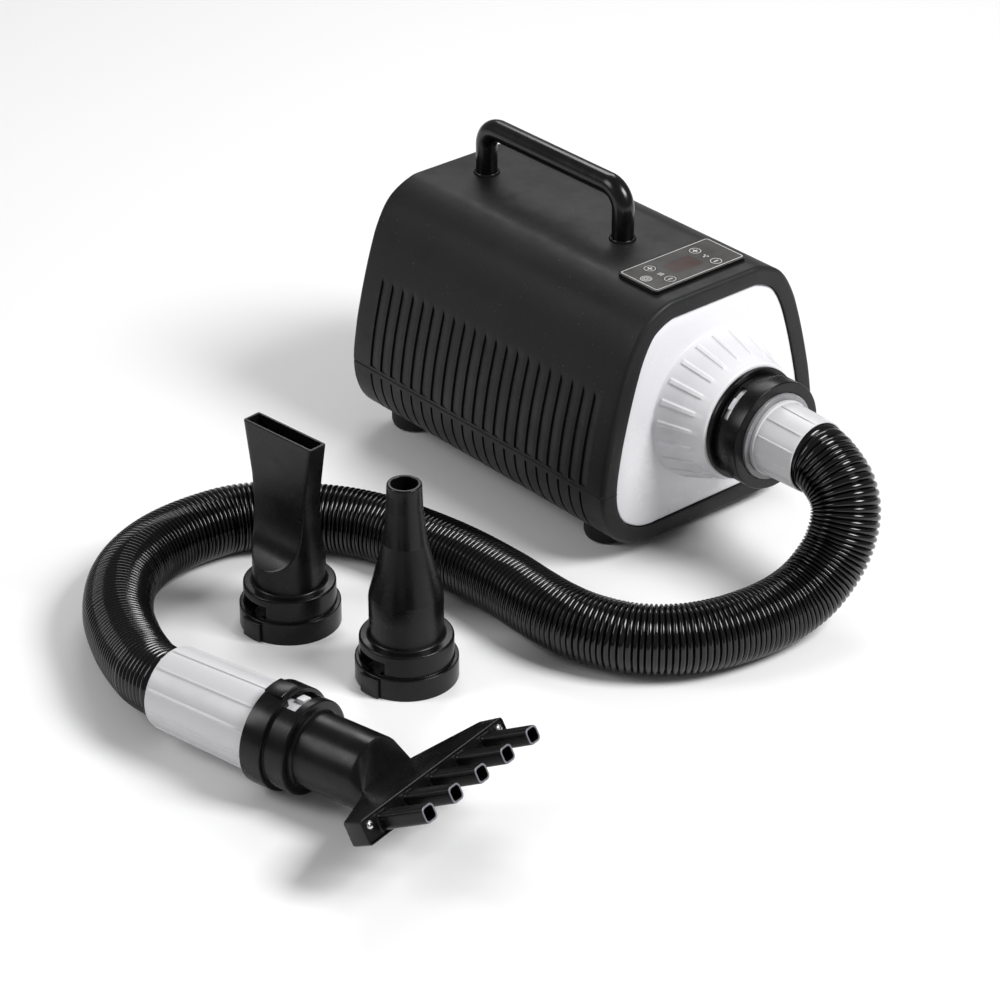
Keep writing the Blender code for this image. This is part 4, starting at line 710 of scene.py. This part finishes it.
# ---------------------------------------------------------------- hand grip
along = at(GRIP_AT, ALONG_GRIP)
g = GRIP_LEN
grip_sections = [(27.6 + 2.0 * h / g, h, 0) for h in (g - 2.4, g - 3.6, 66, 50, 34, 18, 3.6, 2.4)]
grip = lathe("grip_sleeve", [
    (27.6, 0, 0.6), (24.4, 0, 0.4), (24.4, SOCKET, 0.3), (22.0, SOCKET + 0.6, 0.3), (22.0, g + 26, 0.3),
    (28.0, g + 26, 0.8), (28.0, g, 0.2), (29.6, g, 0.5), *grip_sections],
    CUFF, along, steps=360, shape=narrow_ribs(11, 0.85, 1.6, g - 1.8, 90.0, 1.2), sharp=50)
TAB = 91.3
carve(grip, [("UNION", arc_block("grip_lug_%d" % k, g + 18.2, g + 24.2, 27.0, 31.3, TAB - 10 + 180 * k, 7, along,
                                 CUFF, round_off=0.5)) for k in range(2)], sharp=50)
show(grip, "machine", "hand_grip")

# ---------------------------------------------------------------- nozzles
A_R, A_H, B_R, B_TOP, TUBE = 34.7, 16.0, 31.7, 32.2, 24.9
SOCKET_R, INNER = 28.35, 22.5


def socket_tools(name, turn, tab):
    """Tab, lug slots and entry channels of a bayonet socket based at local z = 0."""
    tools = [("UNION", arc_block(name + "_tab", 0.3, A_H - 1.5, A_R - 1, 37.0, tab, 13, turn, round_off=0.7))]
    for k in range(2):
        a = tab + 180 * k
        slot = arc_block("%s_slot_%d" % (name, k), A_H + 0.5, A_H + 10, 27, A_R + 3, a - 7.5, 24.5, turn)
        entry = arc_block("%s_entry_%d" % (name, k), -1, A_H + 1.4, 27, B_R + 0.7, a, 8.2, turn)
        tools += [("DIFFERENCE", slot), ("DIFFERENCE", entry)]
    return tools


SOCKET_OUT = [(TUBE, B_TOP + 0.0, 2.2), (B_R, B_TOP, 1.6), (B_R, A_H, 0.5), (A_R, A_H, 1.0), (A_R, 0, 0.8)]
SOCKET_IN = [(SOCKET_R, 0, 0.5), (SOCKET_R, B_TOP - 5, 0.4), (INNER, B_TOP - 4, 0.4)]
SOCKET_RISE = rounded([*SOCKET_OUT[::-1], (TUBE, 49, 0)], closed=False)   # from the base up to the tube

round_turn = at(ROUND_AT)
round_tool = lathe("round_tool", [
    (8.7, 146, 0.8), (11.6, 146, 1.3), (11.85, 137, 0), (12.2, 128, 3), (14.6, 103, 6), (24.55, 64.5, 1.5),
    (24.8, 62, 0), (TUBE, 61.6, 0), (TUBE, 50, 0), *SOCKET_OUT, *SOCKET_IN, (INNER, 60, 2), (11.6, 103, 4)],
    SATIN, round_turn)
carve(round_tool, socket_tools("round", round_turn, -83.5))
show(round_tool, "round_tool", "round_nozzle")

FLAT_YAW = 6.0
flat_turn = at(FLAT_AT, Matrix.Rotation(math.radians(FLAT_YAW), 3, "Z"))
MOUTH_W, MOUTH_T, TOOL_H = 64.5, 14.3, 146.0


def flat_section(z, wall=0.0):
    """Outline of the flat nozzle at a height in mm: tube sides, cut off flat in front and behind."""
    half_t = min(TUBE, 0.5 * MOUTH_T + 0.9 * (TOOL_H - z) / 96 + 16.85 * math.exp(-(z - 50) / 12.0))
    half_w = np.interp(z, (50, 62, 84, 108, 146), (24.9, 24.7, 24.5, 26.2, 0.5 * MOUTH_W))
    half_w, half_t = half_w - wall, max(half_t - wall, 4.0)
    bulge = float(np.interp(z, (60, 84, 146), (1.0, 0.85, 0.0)))
    reach = TUBE - wall
    half_t = min(half_t, reach - 0.001)

    def across(y):
        return half_w * (1 - bulge * (1 - math.sqrt(max(0.0, 1 - (y / reach) ** 2))))

    corner = min(0.9, 0.3 * half_t, 0.3 * across(half_t))
    side = [(across(y), y) for y in np.linspace(0, half_t - corner, 26)]
    tip = (across(half_t) - corner, half_t)
    mid = (0.5 * (side[-1][0] + tip[0]) + 0.2 * corner, 0.5 * (side[-1][1] + tip[1]) + 0.2 * corner)
    face = [(x, half_t) for x in np.linspace(tip[0], 0, 12)]
    quarter = side + [mid] + face
    half = quarter + [(-x, y) for x, y in quarter[-2::-1]]
    full = half + [(-x, -y) for x, y in half[1:-1]]
    return np.array([(x * MM, y * MM, z * MM) for x, y in full])


def circle_like(section, radius, z):
    """Circle with one point for each point of a section, at the same share of the way round."""
    flat = section[:, :2] / np.linalg.norm(section[:, :2], axis=1)[:, None]
    return np.column_stack([flat * radius * MM, np.full(len(flat), z * MM)])


def make_flat_tool():
    """Flat nozzle: outside from the base to the mouth, then back down inside."""
    start = flat_section(50.03)
    heights = [50.03, 50.15, 50.4, 50.8, 51.3, 52, 52.8, 53.7, 54.8, 56, 57.4, 59, 61, 63, 65.5, 68, 71, 74, 78]
    heights += [82, 86, *np.arange(90, 144, 6.0), 144.6]
    outer = [circle_like(start, r, z) for r, z in SOCKET_RISE]
    outer += [flat_section(z) for z in heights]
    lip, lip_in = flat_section(TOOL_H), flat_section(TOOL_H, 1.8)
    soft = lip * (0.992, 0.965, 1)
    outer += [flat_section(145.5), soft]
    inner = [lip_in * (1.006, 1.03, 1)]
    inner += [flat_section(z, float(np.interp(z, (62, 86), (2.4, 1.8))))
              for z in (145.2, 130, 110, 95, 86, 80, 75, 70, 66, 62, 59, 56, 54, 52, 50.5)]
    inner += [circle_like(start, r, z)
              for r, z in ((INNER, 48), (INNER, B_TOP - 4), (SOCKET_R, B_TOP - 5), (SOCKET_R, 0))]
    return skin("flat_tool", outer + inner, SATIN, flat_turn, wrap=True, sharp=30)


flat_tool = make_flat_tool()
carve(flat_tool, socket_tools("flat", flat_turn, -85 - FLAT_YAW), sharp=30)
show(flat_tool, "flat_tool", "flat_nozzle")

# ---------------------------------------------------------------- comb nozzle
comb_turn = at(COMB_AT, ALONG_GRIP)
BEND_Z, BEND_UP, THROW = 100.9, math.radians(29.2), 33.2
COMB_W, COMB_T = 141.0, 17.0
TUBE_END = 79.0                                      # where the round tube starts to close
NECK_DEPTH, NECK_W = 41, 50                          # flat neck: how far behind the plate, and how wide
TUBE_PITCH, TUBE_OUT, TUBE_IN, TUBE_LEN = 25.8, 11.0, 8.2, 38.8
N_DIR = np.array((0, math.sin(BEND_UP), math.cos(BEND_UP)))
S_DIR = np.array((0, math.cos(BEND_UP), -math.sin(BEND_UP)))
PLATE = np.array((0, 0, BEND_Z)) + N_DIR * THROW


def box_ring(w, t, r, n=8):
    """Rounded rectangle (mm) from the middle of the +X side. Each quarter is n points of side, n of corner and n of
    side, so that it pairs well with a circle."""
    r = min(r, 0.499 * w, 0.499 * t)
    hx, hy = 0.5 * w - r, 0.5 * t - r
    quarter = [(0.5 * w, hy * k / n) for k in range(n)]
    quarter += [(hx + r * math.cos(a), hy + r * math.sin(a)) for a in (math.pi / 2 * k / n for k in range(n))]
    quarter += [(hx * (1 - k / n), 0.5 * t) for k in range(n)]
    mirror = [(-x, y) for x, y in quarter[:0:-1]]
    top = quarter + [(0, 0.5 * t)] + mirror
    return np.array(top + [(-0.5 * w, 0)] + [(x, -y) for x, y in top[:0:-1]])


def fan_ring(depth, w, t, r):
    """Rounded rectangle parallel to the comb's plate, at a depth behind it (mm)."""
    flat = box_ring(w, t, r)
    base = PLATE - N_DIR * depth
    return np.array([(base + np.array((1, 0, 0)) * x + S_DIR * y) * MM for x, y in flat])


def tube_ring(r, z):
    """Circle round the comb's tube, with a point for each point of a fan ring."""
    angles = np.linspace(0, 2 * math.pi, len(box_ring(50, COMB_T, 6)), endpoint=False)
    return np.column_stack([np.cos(angles) * r * MM, np.sin(angles) * r * MM, np.full(len(angles), z * MM)])


def mix(a, b, f):
    return (1 - f) * a + f * b


def make_comb_body():
    """Tube that closes to a flat neck, then widens to the plate: outside first, then back down inside."""
    neck = fan_ring(NECK_DEPTH, NECK_W, COMB_T, 5)
    neck_in = fan_ring(NECK_DEPTH + 2, NECK_W - 6, COMB_T - 5.4, 4)
    outer = [tube_ring(r, z) for r, z in SOCKET_RISE]
    outer += [tube_ring(TUBE, z) for z in (60, 70, TUBE_END - 1.0, TUBE_END)]
    outer += [mix(tube_ring(TUBE, TUBE_END + 1.2), neck, f) for f in (0.04, 0.12, 0.35, 0.6, 0.85, 0.97)]
    outer += [neck]
    for f in (0.03, 0.1, 0.5, 0.9, 0.97):
        outer.append(fan_ring(NECK_DEPTH - 24 * f, NECK_W + (COMB_W - 4 - NECK_W) * f, COMB_T, 5 - 3 * f))
    # depth behind the plate, what comes off the width and off the thickness, corner
    outer += [fan_ring(d, COMB_W - w, COMB_T - t, r) for d, w, t, r in (
        (17, 4, 0, 2), (15.8, 3.4, 0, 1.8), (1.0, 0, 0, 2.2), (0.45, 0.15, 0.15, 2.1), (0.1, 0.6, 0.6, 2.0),
        (0, 1.1, 1.1, 1.9))]
    inner = [fan_ring(d, COMB_W - w, COMB_T - t, r) for d, w, t, r in (
        (0, 1.9, 1.9, 1.6), (0.35, 2.3, 2.3, 1.4), (2.6, 2.4, 2.4, 1.2), (2.7, 4, 4, 1.2), (16.5, 9, 4, 1.2))]
    inner += [neck_in, mix(tube_ring(INNER, TUBE_END - 4), neck_in, 0.4)]
    inner += [tube_ring(r, z)
              for r, z in ((INNER, TUBE_END - 5), (INNER, B_TOP - 4), (SOCKET_R, B_TOP - 5), (SOCKET_R, 0))]
    return skin("comb_tool", outer + inner, SATIN, comb_turn, wrap=True, sharp=27)


comb_tool = make_comb_body()
carve(comb_tool, socket_tools("comb", comb_turn, TAB), sharp=27)
show(comb_tool, "comb", "comb_body")


def square_tube(lateral, index):
    """Rounded square air tube standing on the plate, with a flared foot and an open mouth."""
    def ring(d, size, r):
        base = PLATE + N_DIR * d + np.array((lateral, 0, 0))
        return [(base + np.array((1, 0, 0)) * x + S_DIR * y) * MM for x, y in box_ring(size, size, r)]

    rings = [ring(*r) for r in (
        (-1.6, 14.2, 4.4), (-0.6, 13.8, 4.3), (-0.2, 12.7, 4), (0.6, 11.8, 3.6), (2.2, 11.2, 3.4),
        (TUBE_LEN - 0.7, TUBE_OUT, 3.3), (TUBE_LEN - 0.15, TUBE_OUT - 0.25, 3.2), (TUBE_LEN, TUBE_OUT - 0.7, 3.0),
        (TUBE_LEN, TUBE_IN + 0.3, 2.4), (TUBE_LEN - 0.3, TUBE_IN, 2.2), (2, TUBE_IN, 2.2), (-1.6, TUBE_IN, 2.2))]
    obj = skin("air_tube_%d" % index, rings, SATIN, comb_turn, wrap=True, sharp=40)
    obj.data.materials.append(PAINTED_RIM_HIGHLIGHT)
    # the edge round the mouth gets a paler grey than the black sides: a painted highlight
    mouth = comb_turn @ Vector(tuple((PLATE + N_DIR * TUBE_LEN + np.array((lateral, 0, 0))) * MM))
    out = (comb_turn.to_3x3() @ Vector(tuple(N_DIR))).normalized()
    for face in obj.data.polygons:
        if (face.center - mouth).dot(out) > -0.42 * MM:
            face.material_index = 1
    return obj


def make_comb_plate():
    """Sunk faceplate that carries the air tubes."""
    rings = [fan_ring(d, COMB_W - w, COMB_T - w, 1.2) for d, w in ((2.5, 2.9), (1.0, 2.9), (0.7, 3.4), (0.7, 6.0))]
    return skin("comb_faceplate", rings, SATIN, comb_turn, sharp=35)


show(make_comb_plate(), "comb", "comb_plate")
for k in range(5):
    show(square_tube((k - 2) * TUBE_PITCH, k + 1), "comb", slot="comb_plate")


def cross_screw(name, turn, head=2.9, mat=STEEL):
    """Pan head with a cross recess, head upwards, in mm."""
    obj = lathe(name, [(0, 1.9, 0), (1.2, 1.85, 0), (2.2, 1.45, 0), (2.75, 0.8, 0), (head, 0.2, 0.2), (1.4, 0.2, 0),
                       (1.4, -6, 0.2), (0, -6.6, 0)], mat, turn, steps=40, closed=False)
    blades = []
    for a in (0.35, 0.35 + math.pi / 2):
        c, s = math.cos(a), math.sin(a)
        rings = []
        for h, half_l, half_w in ((0.7, 0.9, 0.22), (2.2, 1.75, 0.34)):
            rings.append([((x * c - y * s) * MM, (x * s + y * c) * MM, h * MM)
                          for x, y in ((half_l, half_w), (-half_l, half_w), (-half_l, -half_w), (half_l, -half_w))])
        blades.append(("DIFFERENCE", skin("recess", rings, mat, turn)))
    return carve(obj, blades, sharp=30)


def screw_turn(lateral, up):
    place = comb_turn @ Vector(tuple((PLATE + np.array((lateral, 0, 0)) + S_DIR * up - N_DIR * 0.7) * MM))
    out = (comb_turn.to_3x3() @ Vector(tuple(N_DIR))).normalized()
    return at(place, out.to_track_quat("Z", "Y").to_matrix())


for k, lateral in enumerate((-64.2, 64.2)):
    show(cross_screw("plate_screw_%d" % (k + 1), screw_turn(lateral, 3.0)), "comb", "comb_screw_%d" % (k + 1))

# ---------------------------------------------------------------- handle
HANDLE_R, BEND_R = 8.0, 15.0
bar_low, bar_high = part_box("handle_bar")
REAR_LEG, FRONT_LEG = bar_low.x + HANDLE_R * MM, bar_high.x - HANDLE_R * MM
BAR_Z = bar_high.z - HANDLE_R * MM


def make_handle():
    """Round bar: up, a quarter bend, along, a quarter bend and down."""
    b = BEND_R * MM
    line = [Vector((REAR_LEG, MID_Y, TOP + 0.3 * MM))]
    for cx, start in ((REAR_LEG + b, math.pi), (FRONT_LEG - b, math.pi / 2)):
        for k in range(17):
            a = start - k / 16 * math.pi / 2
            line.append(Vector((cx + b * math.cos(a), MID_Y, BAR_Z - b + b * math.sin(a))))
    line.append(Vector((FRONT_LEG, MID_Y, TOP + 0.3 * MM)))
    rings = []
    for i, p in enumerate(line):
        t = (line[min(i + 1, len(line) - 1)] - line[max(i - 1, 0)]).normalized()
        n = Vector((0, 1, 0))
        s = t.cross(n)
        rings.append([p + (n * math.cos(a) + s * math.sin(a)) * HANDLE_R * MM
                      for a in (2 * math.pi * k / 64 for k in range(64))])
    return skin("carry_handle", rings, HANDLE, sharp=60)


show(make_handle(), "machine", "handle_bar")
for tag, x in (("front", FRONT_LEG), ("rear", REAR_LEG)):
    show(lathe("handle_collar_" + tag, [(8.3, 1.6, 0.3), (9.3, 1.6, 0.6), (9.9, 0, 0.2), (8.3, 0, 0.1)], HANDLE,
               at((x, MID_Y, TOP + 0.25 * MM)), steps=96), "machine", "handle_ring_" + tag)

# ---------------------------------------------------------------- feet
FEET_X = {"front": -39.0, "rear": -255.0}            # mm behind the front face
FEET_Y = {"right": -62.0, "left": 62.0}
FOOT = [(2.4, 20, 0.2), (16.5, 20, 0.3), (16.5, 5.5, 0.8), (15.2, 1.6, 1.8), (11.5, 0, 1.0), (5, 0, 0.5), (5, 7, 0.3),
        (2.4, 7, 0.1)]
for end, fx in FEET_X.items():
    for side, fy in FEET_Y.items():
        tag = end + "_" + side
        foot = lathe("rubber_" + tag, FOOT, RUBBER, at(machine(fx * MM, fy * MM, 0)), steps=96)
        show(foot, "machine", "foot_" + tag)

# ---------------------------------------------------------------- control panel
panel_low, panel_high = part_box("panel_bezel")
PANEL_X, PANEL_Y = 0.5 * (panel_low.x + panel_high.x), 0.5 * (panel_low.y + panel_high.y)
PANEL_L, PANEL_WIDE = (panel_high.x - panel_low.x) / MM, (panel_high.y - panel_low.y) / MM
OVER_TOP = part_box("panel_overlay")[1].z
KEYS = ("key_air_plus", "key_air_minus", "key_heat_plus", "key_heat_minus", "key_power")
KEY_R, KEY_HOLE = 4.6, 4.9


def key_centre(name):
    low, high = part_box(name)
    return 0.5 * (low.x + high.x), 0.5 * (low.y + high.y)


def flat_shape(name, loops, z0, z1, mat):
    """Solid between two heights over an outer loop with holes; loops are lists of (x, y) in metres."""
    curve = bpy.data.curves.new(name, "CURVE")
    curve.dimensions, curve.fill_mode = "2D", "BOTH"
    curve.extrude = 0.5 * (z1 - z0)
    for loop in loops:
        spline = curve.splines.new("POLY")
        spline.points.add(len(loop) - 1)
        for point, (x, y) in zip(spline.points, loop):
            point.co = (x, y, 0, 1)
        spline.use_cyclic_u = True
    obj = bpy.data.objects.new(name, curve)
    obj.location.z = 0.5 * (z0 + z1)
    bpy.context.scene.collection.objects.link(obj)
    graph = bpy.context.evaluated_depsgraph_get()
    mesh = bpy.data.meshes.new_from_object(obj.evaluated_get(graph))
    mesh.transform(Matrix.Translation((0, 0, 0.5 * (z0 + z1))))
    bpy.data.objects.remove(obj, do_unlink=True)
    made = bpy.data.objects.new(name, mesh)
    bpy.context.scene.collection.objects.link(made)
    mesh.materials.clear()
    mesh.materials.append(mat)
    clean(mesh, 1e-7)
    shade(mesh, 30)
    return made


def round_box(cx, cy, w, l, r):
    return [(cx + x * MM, cy + y * MM) for x, y in box_ring(w, l, r, 7)]


def disc(cx, cy, r, n=40):
    angles = [2 * math.pi * k / n for k in range(n)]
    return [(cx + r * MM * math.cos(a), cy + r * MM * math.sin(a)) for a in angles]


window_low, window_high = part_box("display_window")
WINDOW_FIT = 0.2 * MM
wx0, wy0 = window_low.x - WINDOW_FIT, window_low.y - WINDOW_FIT
wx1, wy1 = window_high.x + WINDOW_FIT, window_high.y + WINDOW_FIT
window_hole = [(wx0, wy0), (wx1, wy0), (wx1, wy1), (wx0, wy1)]
holes = [disc(*key_centre(k), KEY_HOLE) for k in KEYS]

bezel = flat_shape("panel_frame", [round_box(PANEL_X, PANEL_Y, PANEL_L, PANEL_WIDE, 3.4), *holes, window_hole],
                   TOP + 0.1 * MM, OVER_TOP - 0.15 * MM, SATIN)
edge_mod = bezel.modifiers.new("edge", "BEVEL")
edge_mod.width, edge_mod.segments, edge_mod.limit_method = 0.9 * MM, 4, "ANGLE"
settle(bezel)
show(bezel, "machine", "panel_bezel")
film_edge = round_box(PANEL_X, PANEL_Y, PANEL_L - 2.2, PANEL_WIDE - 2.2, 2.4)
film = flat_shape("panel_film", [film_edge, *holes, window_hole], OVER_TOP - 0.6 * MM, OVER_TOP, OVERLAY)
show(film, "machine", "panel_overlay")
frame["nodes"]["display_window"].material_slots[0].material = WINDOW

PRINT_Z = OVER_TOP + 0.02 * MM
PRINT_T = 0.05 * MM


def ink(name, loops, z=PRINT_Z):
    """Printed sign, as a thin layer over the film."""
    return flat_shape(name, loops, z, z + PRINT_T, PRINT)


def stroke(points, width, cx, cy):
    """Flat stroke of a width (mm) along points (mm) round a centre, as one loop."""
    pts = np.array(points, float)
    d = np.gradient(pts, axis=0)
    n = np.stack([-d[:, 1], d[:, 0]], 1)
    n /= np.linalg.norm(n, axis=1)[:, None]
    loop = np.concatenate([pts + n * 0.5 * width, (pts - n * 0.5 * width)[::-1]])
    return [(cx + x * MM, cy + y * MM) for x, y in loop]


border = ink("panel_border", [round_box(PANEL_X, PANEL_Y, PANEL_L - 3.2, PANEL_WIDE - 3.2, 2.0),
                              round_box(PANEL_X, PANEL_Y, PANEL_L - 4.4, PANEL_WIDE - 4.4, 1.4)])
show(border, "machine", slot="panel_overlay")


def fan_symbol(cx, cy):
    """Three blades round a hub."""
    loops = [disc(cx, cy, 0.45, 12)]
    for k in range(3):
        a0 = 2 * math.pi * k / 3 + 0.4
        blade = [(0.6, 0.0), (1.4, -0.25), (2.35, 0.0), (2.5, 0.55), (2.1, 1.05), (1.2, 0.95)]
        c, s = math.cos(a0), math.sin(a0)
        loops.append([(cx + (x * c - y * s) * MM, cy + (x * s + y * c) * MM) for x, y in blade])
    return loops


def heat_symbol(cx, cy):
    """Three rising waves over a bar."""
    loops = []
    for k in (-1, 0, 1):
        wave = [(-1.9 + 3.2 * t, 1.35 * k + 0.42 * math.sin(2 * math.pi * t)) for t in np.linspace(0, 1, 13)]
        loops.append(stroke([(-x, y) for x, y in wave], 0.55, cx, cy))
    loops.append(stroke([(2.3, -2.1), (2.3, 0), (2.3, 2.1)], 0.5, cx, cy))
    return loops


centres = {k: key_centre(k) for k in KEYS}
for name, pair, symbol in (("air", ("key_air_plus", "key_air_minus"), fan_symbol),
                           ("heat", ("key_heat_plus", "key_heat_minus"), heat_symbol)):
    cx = 0.5 * (centres[pair[0]][0] + centres[pair[1]][0])
    cy = 0.5 * (centres[pair[0]][1] + centres[pair[1]][1])
    for k, loop in enumerate(symbol(cx, cy)):
        show(ink("%s_symbol_%d" % (name, k), [loop]), "machine", slot="panel_overlay")

for name in KEYS:
    body = name + "_cap"
    cx, cy = centres[name]
    top = PRINT_Z
    cap = lathe(name + "_top", [(0, -4.0, 0), (KEY_R, -4.0, 0.1), (KEY_R, -0.05, 0.25), (KEY_R - 0.5, 0.12, 0.2),
                                (0, 0.02, 0)], KEY_FILM, at((cx, cy, top)), steps=64, closed=False)
    show(cap, body, name)
    ring = ink(name + "_ring", [disc(cx, cy, 4.3), disc(cx, cy, 3.8)], top + 0.1 * MM)
    show(ring, body, slot=name)
    if name == "key_power":
        marks = [[disc(cx, cy, 3.1, 32), disc(cx, cy, 2.65, 32)],
                 [stroke([(1.55 * math.cos(a), 1.55 * math.sin(a)) for a in np.linspace(0.6, 2 * math.pi - 0.6, 25)],
                         0.55, cx, cy)],
                 [stroke([(0.1, 0), (1.0, 0), (1.9, 0)], 0.55, cx, cy)]]
    elif name.endswith("plus"):
        marks = [[[(cx + x * MM, cy + y * MM) for x, y in (
            (0.45, 0.45), (2.1, 0.45), (2.1, -0.45), (0.45, -0.45), (0.45, -2.1), (-0.45, -2.1), (-0.45, -0.45),
            (-2.1, -0.45), (-2.1, 0.45), (-0.45, 0.45), (-0.45, 2.1), (0.45, 2.1))]]]
    else:
        marks = [[stroke([(0, -2.1), (0, 0), (0, 2.1)], 0.9, cx, cy)]]
    for k, loops in enumerate(marks):
        show(ink("%s_mark_%d" % (name, k), loops, top + 0.07 * MM), body, slot=name)

# ---------------------------------------------------------------- CAD nodes that stay, with their materials
KEPT = {
    CASE: ["rear_panel", "intake_cover"],
    SATIN: ["cord_gland", "capacitor"],
    FOAM: ["filter_foam"],
    NYLON: ["fan_housing", "motor_bracket_rear", "motor_bracket_front", "brush_holder_right", "brush_holder_left"],
    ALUMINIUM: ["motor_case", "impeller_shroud", "impeller"],
    STEEL: ["motor_shaft", "impeller_nut"],
    ZINC: ["heater_sleeve", "thermal_cutout", "handle_bolt_front", "handle_bolt_rear", "foot_screw_front_right",
           "foot_screw_front_left", "foot_screw_rear_right", "foot_screw_rear_left"],
    MICA: ["heater_frame"],
    HEATING: ["heater_coil"],
    BOARD: ["power_board", "control_board"],
    SLEEVE: ["display_module"],
}
for mat, names in KEPT.items():
    for name in names:
        frame["nodes"][name].material_slots[0].material = mat

# ---------------------------------------------------------------- floor and light
floor_mat, floor_tree, floor_shader = shader_of("pale_floor", (0.94, 0.94, 0.94), 0.6)
mottle = blend_colour(floor_tree, noise(floor_tree, 3.0, 2.0), (0.935, 0.935, 0.935), (0.945, 0.945, 0.945))
floor_tree.links.new(mottle, floor_shader.inputs["Base Color"])
floor_mesh = bpy.data.meshes.new("floor")
floor_mesh.from_pydata([(-6, -6, 0), (6, -6, 0), (6, 6, 0), (-6, 6, 0)], [], [(0, 1, 2, 3)])
floor_mesh.materials.append(floor_mat)
floor = bpy.data.objects.new("floor", floor_mesh)
bpy.context.scene.collection.objects.link(floor)

world = bpy.data.worlds.new("studio")
bpy.context.scene.world = world
world.use_nodes = True
background = world.node_tree.nodes["Background"]
background.inputs["Color"].default_value = (1, 1, 1, 1)
background.inputs["Strength"].default_value = 0.24


def softbox(name, place, target, size, power):
    light = bpy.data.lights.new(name, "AREA")
    light.shape, light.size, light.size_y = "RECTANGLE", size[0], size[1]
    light.energy = power
    obj = bpy.data.objects.new(name, light)
    obj.location = place
    obj.rotation_euler = (Vector(target) - Vector(place)).to_track_quat("-Z", "Y").to_euler()
    bpy.context.scene.collection.objects.link(obj)


softbox("key", (1.5, 0.7, 1.8), (0.1, 0.05, 0.1), (0.9, 0.9), 54)
softbox("rear", (-1.1, 1.0, 1.5), (0.0, 0.1, 0.1), (1.0, 0.7), 11)
softbox("fill", (-0.9, -1.7, 1.5), (0.0, 0.0, 0.1), (0.8, 1.2), 17)
